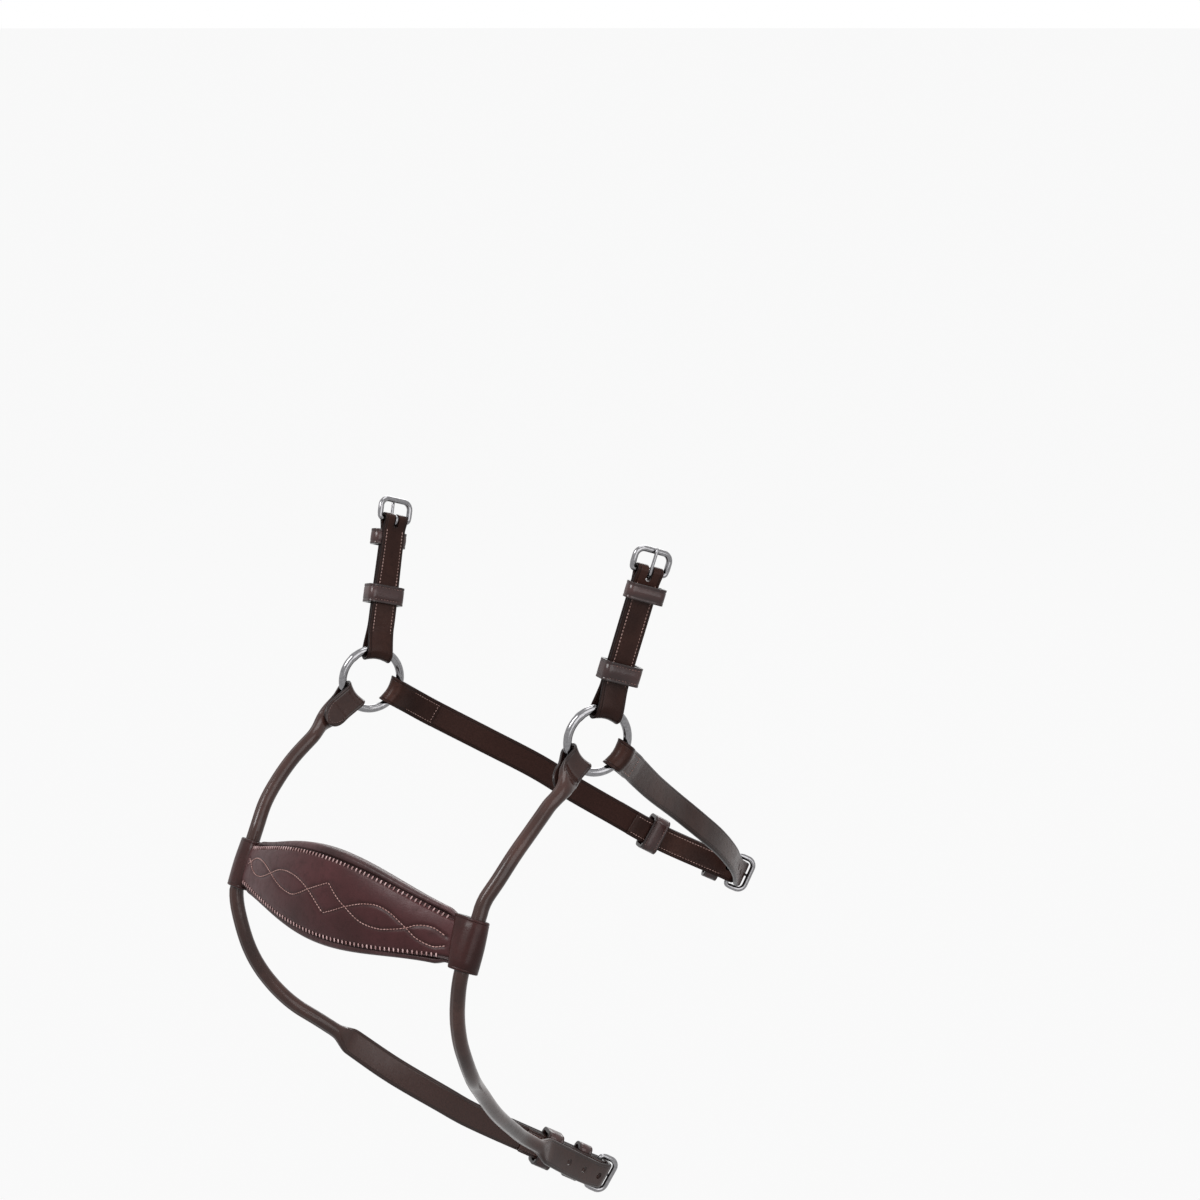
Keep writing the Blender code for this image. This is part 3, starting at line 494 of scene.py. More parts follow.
class Wardrobe:
    """The materials and threads of the noseband, each made once."""

    def __init__(self) -> None:
        """Make the materials and the threads."""
        self.strap = LeatherFinish().material("bridle_leather")
        self.roll = LeatherFinish(deep=linear(50, 32, 28), warm=linear(76, 50, 44),
                                  roughness=(0.16, 0.28), shine=0.30).material("rolled_leather")
        self.keeper = LeatherFinish(deep=linear(52, 33, 32), warm=linear(78, 52, 50),
                                    grain_scale=1100.0, roughness=(0.18, 0.28),
                                    shine=0.36).material("keeper_leather")
        self.front = LeatherFinish(deep=linear(56, 32, 32), warm=linear(80, 45, 47),
                                   blotch_scale=24.0, roughness=(0.28, 0.42),
                                   grain=0.00004, shine=0.13).material("front_leather")
        self.cuff = LeatherFinish(deep=linear(46, 24, 22), warm=linear(66, 35, 34),
                                  blotch_scale=30.0, roughness=(0.25, 0.38),
                                  shine=0.16).material("cuff_leather")
        self.padding = LeatherFinish(deep=linear(54, 35, 35), warm=linear(84, 58, 59),
                                     rim=linear(26, 17, 16), grain=0.00008,
                                     grain_scale=900.0, roughness=(0.30, 0.46),
                                     shine=0.16).material("padding_leather")
        self.steel = SteelFinish().material("polished_steel")
        border, fancy, plain, dark = (
            ThreadFinish(linear(*pale), linear(*soiled)).material(name)
            for name, pale, soiled in (
                ("border_thread", (206, 172, 170), (146, 108, 106)),
                ("fancy_thread", (186, 146, 140), (146, 104, 98)),
                ("strap_thread", (166, 134, 126), (112, 80, 72)),
                ("dark_thread", (116, 82, 76), (60, 38, 34))))
        self.border_thread = Thread(0.0023, 0.00085, border)
        self.fancy_thread = Thread(0.0016, 0.00058, fancy)
        self.hanger_thread = Thread(0.00135, 0.00055, plain)
        self.strap_thread = Thread(0.00135, 0.00050, plain)
        self.roll_thread = Thread(0.00135, 0.00050, dark)
        self.keeper_thread = Thread(0.0013, 0.00045, dark)


def only(piece: bpy.types.Object) -> None:
    """Select one object alone and make it active.

    Args:
        piece: The object.
    """
    bpy.ops.object.select_all(action="DESELECT")
    piece.select_set(True)
    bpy.context.view_layer.objects.active = piece


def settle(piece: bpy.types.Object) -> None:
    """Put an object's place, turn and scale into its mesh.

    Args:
        piece: The object.
    """
    bpy.context.view_layer.update()
    piece.data.transform(piece.matrix_world)
    piece.matrix_world = Matrix.Identity(4)


def outward_faces(piece: bpy.types.Object) -> None:
    """Merge doubles and turn every face outward.

    Args:
        piece: The object.
    """
    only(piece)
    bpy.ops.object.mode_set(mode="EDIT")
    bpy.ops.mesh.select_all(action="SELECT")
    bpy.ops.mesh.remove_doubles(threshold=0.000005)
    bpy.ops.mesh.normals_make_consistent(inside=False)
    bpy.ops.object.mode_set(mode="OBJECT")


def apply_all(piece: bpy.types.Object) -> None:
    """Apply every modifier of an object in order.

    Args:
        piece: The object.
    """
    only(piece)
    for modifier in list(piece.modifiers):
        bpy.ops.object.modifier_apply(modifier=modifier.name)


def smooth(piece: bpy.types.Object, angle: float = 42.0) -> None:
    """Shade an object smooth up to an angle in degrees."""
    only(piece)
    bpy.ops.object.shade_smooth_by_angle(angle=radians(angle))


def placed(name: str, data: bpy.types.ID) -> bpy.types.Object:
    """New object in the scene that shows some data.

    Args:
        name: Name of the object.
        data: The data.

    Returns:
        The object.
    """
    made = bpy.data.objects.new(name, data)
    bpy.context.scene.collection.objects.link(made)
    return made


def mesh_object(name: str, points: Sequence, faces: Sequence) -> bpy.types.Object:
    """New object for a mesh given by its points and faces.

    Args:
        name: Name of the mesh and the object.
        points: The points.
        faces: Indices of each face's points.

    Returns:
        The object.
    """
    mesh = bpy.data.meshes.new(name)
    mesh.from_pydata(points, [], faces)
    return placed(name, mesh)


def start_shaping() -> bpy.types.Object:
    """Settle the primitive just added and open all of it in edit mode.

    Returns:
        The object.
    """
    piece = bpy.context.object
    settle(piece)
    bpy.ops.object.mode_set(mode="EDIT")
    bpy.ops.mesh.select_all(action="SELECT")
    return piece


def keep_model(piece: bpy.types.Object) -> bpy.types.Mesh:
    """Take a modelled object out of the scene and keep its mesh to copy.

    Args:
        piece: The object.

    Returns:
        Its mesh.
    """
    mesh = piece.data
    bpy.data.objects.remove(piece)
    return mesh


def pick(piece: bpy.types.Object, kind: str, test: Callable) -> None:
    """Select, in edit mode, the faces, edges or points that pass a test.

    Args:
        piece: The object, which is in edit mode and is left in it.
        kind: FACE, EDGE or VERT.
        test: Function of a face's middle and normal, an edge's middle and way, or a place.
    """
    bpy.ops.object.mode_set(mode="OBJECT")
    mesh = piece.data
    for group in (mesh.vertices, mesh.edges, mesh.polygons):
        group.foreach_set("select", [False] * len(group))
    if kind == "VERT":
        for vert in mesh.vertices:
            vert.select = bool(test(vert.co))
    elif kind == "EDGE":
        for edge in mesh.edges:
            low, high = (mesh.vertices[i].co for i in edge.vertices)
            edge.select = bool(test((low + high) / 2, (high - low).normalized()))
    else:
        for face in mesh.polygons:
            face.select = bool(test(face.center, face.normal))
    bpy.context.tool_settings.mesh_select_mode = tuple(kind == each for each in
                                                       ("VERT", "EDGE", "FACE"))
    bpy.ops.object.mode_set(mode="EDIT")


@dataclass
class Workshop:
    """Finishes pieces: material, body and the node that each stands for."""

    wardrobe: Wardrobe = field(default_factory=Wardrobe)
    bodies: dict = field(default_factory=dict)

    def __post_init__(self) -> None:
        """Learn which body each node rides on."""
        for body, nodes in frame["record"]["behaviour"]["bodies"].items():
            for node in nodes:
                self.bodies[node] = body

    def dress(self, piece: bpy.types.Object, finish: bpy.types.Material, slot: Slot,
              carrier: str, replaces: bool = True) -> None:
        """Give a piece its material and make it ride with the node that it belongs to.

        Args:
            piece: The finished object.
            finish: Its material.
            slot: Not used.
            carrier: The node that the piece stands for or sits on.
            replaces: Whether the piece stands for that node.
        """
        piece.data.materials.clear()
        piece.data.materials.append(finish)
        if replaces:
            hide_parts(carrier)
        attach(piece, self.bodies[carrier])
        LOG.info("%s: %d faces, rides on %s", piece.name, len(piece.data.polygons),
                 self.bodies[carrier])

    def dress_copy(self, model: bpy.types.Mesh, place: Matrix, finish: bpy.types.Material,
                   slot: Slot, node: str) -> None:
        """Put a copy of a model, with its own mesh, in place of a node and dress it.

        Args:
            model: The modelled mesh.
            place: Where the copy goes.
            finish: Its material.
            slot: The record's slot that the finish comes from.
            node: The node that it stands for.
        """
        stuff = "steel" if slot is Slot.STEEL else "leather"
        mesh = model.copy()
        mesh.name = f"{node}_{stuff}"
        mesh.transform(place)
        if place.determinant() < 0:
            mesh.flip_normals()
        self.dress(placed(mesh.name, mesh), finish, slot, node)


class Station(NamedTuple):
    """Cross section of a strap beside its course.

    Attributes:
        along: Distance along the course.
        off: Distance from the course towards the horse's right.
        thickness: Thickness of the leather.
        width: Width of the leather.
        roundness: 0 for a flat strap and 1 for a round roll.
    """

    along: float
    off: float
    thickness: float
    width: float = LEATHER.width
    roundness: float = 0.0


class Course:
    """A centre line whose strap has a width direction and an off-side face all along it."""

    def __init__(self, knots: Sequence[Vector], widths: Sequence[tuple[float, Vector]]) -> None:
        """Run a course through its knots.

        Args:
            knots: Points that the centre line passes.
            widths: Width directions as (share of the length, direction).
        """
        self.points = smooth_points(knots, LEATHER.fine_step)
        self.ends = distances(self.points)
        self.length = self.ends[-1]
        self.widths = widths
        self.stops = [self.length - LEATHER.heel_taper]
        step = LEATHER.stop_step
        while self.stops[0] - step > LEATHER.loop_taper + step / 4:
            self.stops.insert(0, self.stops[0] - step)
        self.stops.insert(0, LEATHER.loop_taper)
        start = self.tangent(0.0)
        away = start.cross(square_to(widths[0][1], start))
        self.sign = 1 if away.dot(-LEFT) > 0 else -1

    def point(self, along: float) -> Vector:
        """Point at a distance along the line, on a straight run past either end.

        Args:
            along: The distance.

        Returns:
            The point.
        """
        if along <= 0:
            return self.points[0] + (self.points[1] - self.points[0]).normalized() * along
        if along >= self.length:
            step = (self.points[-1] - self.points[-2]).normalized()
            return self.points[-1] + step * (along - self.length)
        index = int(np.searchsorted(self.ends, along)) - 1
        index = min(max(index, 0), len(self.points) - 2)
        share = (along - self.ends[index]) / (self.ends[index + 1] - self.ends[index])
        return mix(self.points[index], self.points[index + 1], share)

    def stop(self, along: float) -> float:
        """The stop nearest to a distance along the line."""
        return min(self.stops, key=lambda place: abs(place - along))

    def tangent(self, along: float) -> Vector:
        """Unit direction of travel.

        Args:
            along: Distance along the line.

        Returns:
            The direction.
        """
        reach = LEATHER.fine_step * 0.75
        inside = min(max(along, 0.0), self.length)
        start = self.point(max(inside - reach, 0.0))
        end = self.point(min(inside + reach, self.length))
        return (end - start).normalized()

    def frame(self, along: float) -> tuple[Vector, Vector, Vector, Vector]:
        """Directions at a distance along the line.

        Args:
            along: The distance.

        Returns:
            Point, direction of travel, width direction and direction to the horse's right.
        """
        ahead = self.tangent(along)
        share = min(max(along / self.length, 0.0), 1.0)
        across = self.widths[-1][1]
        for (low, start), (high, end) in zip(self.widths, self.widths[1:]):
            if low <= share <= high:
                across = mix(start, end, ease((share - low) / (high - low)))
                break
        across = square_to(across, ahead)
        return self.point(along), ahead, across, ahead.cross(across) * self.sign


class Anchor:
    """Where a strap turns round a ring's wire on its way to a target."""

    def __init__(self, side: Side, target: Vector) -> None:
        """Find the place on the ring that faces the target.

        Args:
            side: Side of the ring.
            target: Where the strap goes.
        """
        centre = RINGS.centre(side)
        way = target - centre
        self.radial = (RINGS.back * way.dot(RINGS.back) + UP * way.dot(UP)).normalized()
        self.wire = centre + self.radial * RINGS.mean_radius
        self.tangent = RINGS.normal.cross(self.radial)
        self.ahead = square_to(target - self.wire, self.tangent)

    def sag(self, along: float, across: float) -> Vector:
        """How the loop follows the ring's curve, fading out along the strap.

        Args:
            along: Distance from the ring's wire.
            across: Distance to the side.

        Returns:
            The shift of the leather.
        """
        drop = RINGS.mean_radius - sqrt(RINGS.mean_radius ** 2 - across ** 2)
        fade = 1 - ease((along - LOOP_RADIUS) / LEATHER.sag_fade)
        return self.radial * (-drop * fade)


def run(start: float, end: float, off: float, thickness: float,
        step: float = 0.0030) -> list[Station]:
    """Plain stations of a flat strap.

    Args:
        start: Where the first one is.
        end: Where the last one is.
        off: Distance from the course.
        thickness: Thickness of the leather.
        step: Longest step between them.

    Returns:
        The stations, both ends included.
    """
    count = max(1, ceil(abs(end - start) / step))
    return [Station(mix(start, end, i / count), off, thickness) for i in range(count + 1)]


def bend(radius: float, steps: int = 14) -> list[tuple[float, float]]:
    """Bend of a strap round a bar, as (along, off) points from one face to the other.

    Args:
        radius: Radius of the strap's middle.
        steps: Number of steps.

    Returns:
        The points.
    """
    points = []
    for i in range(steps + 1):
        angle = mix(radians(100.0), radians(260.0), i / steps)
        points.append((radius * cos(angle), -radius * sin(angle)))
    return points


def facing(line: Iterable[Station], way: int) -> list[Station]:
    """Mirror stations to the other face of the strap where way is -1."""
    return [station._replace(off=station.off * way) for station in line]


@dataclass
class StrapForm:
    """Turns stations along a course into the skin of a strap.

    Attributes:
        course: The course beside which the stations lie.
        grain_way: Face with the grain, 1 for the left of the run.
        anchor: Where the strap turns round a ring.
    """

    course: Course
    grain_way: int
    anchor: Optional[Anchor] = None

    @staticmethod
    def flat_profile(width: float, thickness: float) -> list[tuple[float, float, float]]:
        """Upper half of a flat strap's outline from edge to edge, with pressed lines.

        Args:
            width: Width of the strap.
            thickness: Thickness of the strap.

        Returns:
            (across, height, rim) from the left edge to the right one.
        """
        half = width / 2
        top = thickness / 2
        corner = top * 0.85
        shrink = min(1.0, half / 0.0036)
        depth = LEATHER.groove * shrink
        inset = LEATHER.groove_inset * shrink
        right = [
            (half * 0.30, top, 0.0),
            (half - inset * 1.55, top, 0.0),
            (half - inset * 1.22, top, 0.15),
            (half - inset, top - depth, 0.85),
            (half - inset * 0.80, top, 0.3),
            (half - corner * 0.75, top - corner * 0.10, 0.35),
            (half - corner * 0.36, top - corner * 0.26, 0.7),
            (half - corner * 0.10, top - corner * 0.58, 1.0),
            (half, top - corner, 1.0),
        ]
        left = [(-across, height, rim) for across, height, rim in reversed(right)]
        return left + [(0.0, top, 0.0)] + right

    def outline(self, station: Station) -> list[tuple[float, float, float]]:
        """Whole outline of a station as (across, height, rim), the grain face first.

        Args:
            station: The station.

        Returns:
            The outline, from edge to edge and back.
        """
        upper = self.flat_profile(station.width, station.thickness)
        flat = upper + [(across, -height, rim) for across, height, rim in reversed(upper)]
        if station.roundness <= 0:
            return flat
        count = len(upper)
        blended = []
        for k, (across, height, rim) in enumerate(flat):
            angle = pi - pi * (k + 0.5) / count
            seam = 0.94 if k in (0, 2 * count - 1) else 1.0
            round_across = cos(angle) * station.width / 2 * seam
            round_height = sin(angle) * station.thickness / 2
            blended.append((mix(across, round_across, station.roundness),
                            mix(height, round_height, station.roundness),
                            rim * (1 - station.roundness) * 0.8))
        return blended

    def rings(self, line: Sequence[Station]) -> tuple[list[list[Vector]], list, list]:
        """Loops of points round the strap.

        Args:
            line: The stations in order.

        Returns:
            The loops, and the rim and flesh values of each point.
        """
        loops, rims, fleshes = [], [], []
        grain_way = self.grain_way
        for index, station in enumerate(line):
            before, after = line[max(index - 1, 0)], line[min(index + 1, len(line) - 1)]
            way = Vector((after.along - before.along, after.off - before.off)).normalized()
            normal = Vector((-way[1], way[0]))
            here = Vector((station.along, station.off))
            faces = []
            for face in (-1, 1):
                reach, height = here + normal * (face * station.thickness / 2)
                point, _, across, off_side = self.course.frame(reach)
                faces.append((reach, point + off_side * height, across))
            loop = []
            for place, height, rim in self.outline(station):
                share = height / station.thickness + 0.5
                spot = mix(faces[0][1], faces[1][1], share)
                spot = spot + mix(faces[0][2], faces[1][2], share) * place
                if self.anchor:
                    spot = spot + self.anchor.sag(mix(faces[0][0], faces[1][0], share), place)
                loop.append(spot)
                rims.append(rim)
                inner = height * grain_way < -station.thickness * 0.3
                fleshes.append((1 - station.roundness) * (1 - rim) if inner else 0.0)
            loops.append(loop)
        return loops, rims, fleshes

    def build(self, name: str, line: Sequence[Station],
              host: Optional[Course] = None,
              fold: Sequence[Station] = ()) -> bpy.types.Object:
        """Skin the stations as a closed object with its rim and flesh painted on.

        Args:
            name: Name of the object.
            line: The stations in order.
            host: Course of another strap, beside which a billet folds back.
            fold: Stations of the fold on that course.

        Returns:
            The object.
        """
        loops, rims, fleshes = self.rings(relax(line))
        if host:
            more = StrapForm(host, self.grain_way).rings(relax(fold))
            loops, rims, fleshes = loops + more[0], rims + more[1], fleshes + more[2]
        return skin(name, loops, Ends.STRIP, rims, fleshes)


class Ends(Enum):
    """How the ends of a skin are closed."""

    JOINED = "joined"
    STRIP = "strip"
    PLATE = "plate"


def skin(name: str, loops: Sequence[Sequence[Vector]], ends: Ends, rims: Sequence[float],
         fleshes: Sequence[float] = ()) -> bpy.types.Object:
    """Join equal loops of points one to the next.

    Args:
        name: Name of the object.
        loops: The loops of points.
        ends: Last loop joined to the first, or both closed with strips or with plates.
        rims: How burnished each point is, or how much painted shade it has.
        fleshes: How far each point shows the flesh side, or nothing for grain all over.

    Returns:
        The object.
    """
    count = len(loops[0])
    points = [spot for loop in loops for spot in loop]
    faces = []
    for row in range(len(loops) - (0 if ends is Ends.JOINED else 1)):
        low, high = row * count, (row + 1) % len(loops) * count
        for i in range(count):
            j = (i + 1) % count
            faces.append((low + i, low + j, high + j, high + i))
    last = (len(loops) - 1) * count
    if ends is Ends.PLATE:
        faces.append(tuple(reversed(range(count))))
        faces.append(tuple(range(last, last + count)))
    elif ends is Ends.STRIP:
        for base, turned in ((0, False), (last, True)):
            for i in range(count // 2 - 1):
                quad = (base + i, base + i + 1, base + count - 2 - i, base + count - 1 - i)
                faces.append(quad if turned else tuple(reversed(quad)))
    made = mesh_object(name, points, faces)
    if sum(face.center.dot(face.normal) * face.area for face in made.data.polygons) < 0:
        made.data.flip_normals()
    paint(made.data, rims, fleshes)
    return made


def paint(mesh: bpy.types.Mesh, rims: Sequence[float], fleshes: Sequence[float] = ()) -> None:
    """Keep the rim and flesh values of a mesh's points.

    Args:
        mesh: The mesh.
        rims: How burnished each point is, or how much painted shade it has.
        fleshes: How far each shows the flesh side, or nothing for grain all over.
    """
    for key, values in (("rim", rims), ("flesh", fleshes or [0.0] * len(rims))):
        layer = mesh.attributes.new(key, "FLOAT", "POINT")
        layer.data.foreach_set("value", list(values))


def relax(line: Sequence[Station], step: float = 0.0007, spread: float = 0.0024) -> list[Station]:
    """Smooth curve through stations, thinned where it runs straight.

    Args:
        line: The stations in order.
        step: Length of a step before thinning.
        spread: Longest step after thinning.

    Returns:
        The stations of the smooth curve.
    """
    rows = [np.array(line[0], float)]
    for station in line[1:]:
        row = np.array(station, float)
        if np.abs(row - rows[-1])[:2].max() > 0.00008:
            rows.append(row)
    dense = spline(rows, lambda way: max(hypot(*way[:2]), 1e-6), step) + [rows[-1]]
    kept = [dense[0]]
    turned, travelled = 0.0, 0.0
    for before, here, after in zip(dense, dense[1:], dense[2:]):
        first, second = (here - before)[:2], (after - here)[:2]
        lengths = hypot(*first) * hypot(*second)
        turned += abs(first[0] * second[1] - first[1] * second[0]) / max(lengths, 1e-12)
        travelled += hypot(*first)
        shape = abs(here[3] - kept[-1][3]) + abs(here[2] - kept[-1][2])
        if turned > 0.16 or travelled > spread or shape > 0.0004:
            kept.append(here)
            turned, travelled = 0.0, 0.0
    kept.append(dense[-1])
    return [Station(*(float(v) for v in row)) for row in kept]


# The leather shown is a little thicker than the model's, so that stitched layers touch.
SHOWN_LAYER = LEATHER.layer + LEATHER.gap * 0.45
SHOWN_OFFSET = LEATHER.offset - (SHOWN_LAYER - LEATHER.layer) / 2
SHOWN_FACE = SHOWN_OFFSET + SHOWN_LAYER / 2


def skived_tip(tip: float, towards: float) -> list[Station]:
    """Thinned end of an inner layer, from its tip towards the full thickness.

    Args:
        tip: Where the end is.
        towards: Any place on the strap's side of it.

    Returns:
        The stations, the thinnest first.
    """
    inner = SHOWN_OFFSET - SHOWN_LAYER / 2
    way = 1 if towards > tip else -1
    line = []
    for share, grown in ((0.0, 0.25), (0.12, 0.5), (0.4, 0.7), (1.0, 1.0)):
        depth = mix(LEATHER.skived * 0.6, SHOWN_LAYER, ease(grown))
        line.append(Station(tip + way * LEATHER.skive_length * share, -(inner + depth / 2), depth))
    return line


def ring_end(tip: float) -> list[Station]:
    """Stations from a turned back end's tip, round the ring and out to that place again.

    Args:
        tip: Where the turned back end stops.

    Returns:
        The stations.
    """
    taper = LEATHER.loop_taper
    line = skived_tip(tip, taper)
    line += run(line[-1].along, taper, -SHOWN_OFFSET, SHOWN_LAYER)[1:]
    line += [Station(along, off, LEATHER.loop) for along, off in bend(LOOP_RADIUS)]
    for i in range(1, 7):
        share = i / 7
        line.append(Station(mix(0.0, taper * 1.3, share),
                            mix(LOOP_RADIUS, SHOWN_OFFSET, ease(share)),
                            mix(LEATHER.loop, SHOWN_LAYER, share)))
    line += run(taper * 1.3, tip, SHOWN_OFFSET, SHOWN_LAYER)
    return line


@dataclass(frozen=True)
class BuckleSizes:
    """Sizes of a buckle: a wire frame with a loose tongue round its heel bar."""

    wire: float = 0.0030
    heel_wire: float = 0.0026
    side_play: float = 0.0007
    length: float = 0.0105
    corner: float = 0.0042
    heel_corner: float = 0.0016
    shoulder: float = 0.0012
    heel_play: float = 0.00035
    tongue_wire: float = 0.0016
    slot_play: float = 0.0006
    rest_gap: float = 0.0003
    slot_back: float = 0.0045
    fold_gap: float = 0.0004
    fold_reach: float = 0.0018
    billet_lead: float = 0.0080

    @property
    def loop_radius(self) -> float:
        """Radius of the strap's middle round the heel bar."""
        return self.heel_wire / 2 + self.heel_play + LEATHER.loop / 2

    @property
    def fold_radius(self) -> float:
        """Radius of the billet's middle where it folds through the frame."""
        return self.loop_radius + (LEATHER.loop + LEATHER.billet) / 2 + self.fold_gap

    @property
    def rest(self) -> float:
        """Height of the tongue over the front bar."""
        return (self.wire + self.tongue_wire) / 2 + self.rest_gap


BUCKLE = BuckleSizes()


def heel_end(course: Course, tip: float) -> list[Station]:
    """Stations from a turned back end's place, round the heel bar and back to its tip.

    Args:
        course: The strap's course.
        tip: Where the turned back end stops.

    Returns:
        The stations.
    """
    taper = course.length - LEATHER.heel_taper
    line = run(tip, taper, SHOWN_OFFSET, SHOWN_LAYER)
    turn = [(course.length - along, off) for along, off in reversed(bend(BUCKLE.loop_radius))]
    line += [Station(along, off, LEATHER.loop) for along, off in turn]
    ended = list(reversed(skived_tip(tip, taper)))
    line += run(taper, ended[0].along, -SHOWN_OFFSET, SHOWN_LAYER)[:-1]
    return line + ended


class Seat:
    """Heel bar at a course's end, with the directions of the buckle that hangs on it."""

    def __init__(self, course: Course, way: int) -> None:
        """Take the course and the face, 1 or -1, that the tongue lies on."""
        self.bar, self.ahead, self.across, off_side = course.frame(course.length)
        self.outward = off_side * way

    @property
    def matrix(self) -> Matrix:
        """Matrix from a buckle's own directions to its place."""
        return axes(self.ahead, self.across, self.outward, self.bar)

    def spot(self, along: float, off: float, side: float = 0.0) -> Vector:
        """Point in the buckle's own directions."""
        return self.bar + self.ahead * along + self.outward * off + self.across * side


@dataclass
class Buckles:
    """Models one frame and one tongue, and copies them to each seat."""

    shop: Workshop
    sizes: BuckleSizes = BUCKLE
    around: int = 18

    def __post_init__(self) -> None:
        """Model the frame and the tongue once."""
        self.frame_model = self.model_frame()
        self.tongue_model = self.model_tongue()

    def model_frame(self) -> bpy.types.Mesh:
        """Half a frame extruded and spun from a circle, then mirrored.

        Returns:
            The mesh, with X across, Y ahead and Z outward.
        """
        s = self.sizes
        half = LEATHER.width / 2 + s.side_play + s.wire / 2
        bpy.ops.mesh.primitive_circle_add(vertices=self.around, radius=s.heel_wire / 2,
                                          rotation=(0.0, pi / 2, 0.0))
        piece = start_shaping()
        bpy.ops.mesh.extrude_region_move(
            TRANSFORM_OT_translate={"value": (half - s.heel_corner, 0.0, 0.0)})
        bpy.ops.mesh.spin(steps=6, angle=-pi / 2, axis=(0.0, 0.0, 1.0),
                          center=(half - s.heel_corner, s.heel_corner, 0.0))
        grow = s.wire / s.heel_wire
        bpy.ops.mesh.extrude_region_move(TRANSFORM_OT_translate={"value": (0.0, s.shoulder, 0.0)})
        bpy.ops.transform.resize(value=(grow, grow, grow),
                                 center_override=(half, s.heel_corner + s.shoulder, 0.0))
        bpy.ops.mesh.extrude_region_move(TRANSFORM_OT_translate={
            "value": (0.0, s.length - s.corner - s.heel_corner - s.shoulder, 0.0)})
        bpy.ops.mesh.spin(steps=10, angle=-pi / 2, axis=(0.0, 0.0, 1.0),
                          center=(half - s.corner, s.length - s.corner, 0.0))
        bpy.ops.mesh.extrude_region_move(
            TRANSFORM_OT_translate={"value": (s.corner - half, 0.0, 0.0)})
        bpy.ops.object.mode_set(mode="OBJECT")
        mirror = piece.modifiers.new("mirror", "MIRROR")
        mirror.use_axis = (True, False, False)
        mirror.merge_threshold = 0.00005
        apply_all(piece)
        outward_faces(piece)
        smooth(piece, 60.0)
        return keep_model(piece)

    def model_tongue(self) -> bpy.types.Mesh:
        """Tongue spun round the heel bar and drawn out to a rounded tip.

        Returns:
            The mesh, with X across, Y ahead and Z outward.
        """
        s = self.sizes
        eye = s.heel_wire / 2 + s.heel_play + s.tongue_wire / 2
        start, turn = radians(-40.0), radians(220.0)
        bpy.ops.mesh.primitive_circle_add(
            vertices=14, radius=s.tongue_wire / 2, fill_type="NGON",
            location=(0.0, eye * cos(start), eye * sin(start)), rotation=(start, 0.0, 0.0))
        piece = start_shaping()
        bpy.ops.mesh.spin(steps=22, angle=turn, center=(0.0, 0.0, 0.0), axis=(1.0, 0.0, 0.0))
        top = Vector((0.0, eye * cos(start - turn), eye * sin(start - turn)))
        for along, off, scale in (
            (eye / 2, mix(eye, s.rest, 0.2), 1.0), (s.length / 2, mix(eye, s.rest, 0.6), 1.02),
            (s.length * 0.85, mix(eye, s.rest, 0.96), 1.0), (s.length, s.rest, 0.95),
            (s.length + s.wire * 0.40, s.rest - 0.0001, 0.82),
            (s.length + s.wire * 0.52, s.rest - 0.00018, 0.6),
            (s.length + s.wire * 0.58, s.rest - 0.00022, 0.3),
        ):
            here = Vector((0.0, along, off))
            bpy.ops.mesh.extrude_region_move(TRANSFORM_OT_translate={"value": here - top})
            bpy.ops.transform.resize(value=(scale, 1.0, scale), center_override=here)
            top = here
        bpy.ops.object.mode_set(mode="OBJECT")
        outward_faces(piece)
        smooth(piece, 60.0)
        return keep_model(piece)

    def fit(self, stem: str, tail: str, seat: Seat) -> None:
        """Put a frame and a tongue on a seat, for the nodes named with this stem and tail.

        Args:
            stem: Start of the nodes' names.
            tail: End of their names.
            seat: The seat.
        """
        for kind, model in (("buckle", self.frame_model), ("tongue", self.tongue_model)):
            self.shop.dress_copy(model, seat.matrix, self.shop.wardrobe.steel, Slot.STEEL,
                                 f"{stem}_{kind}{tail}")


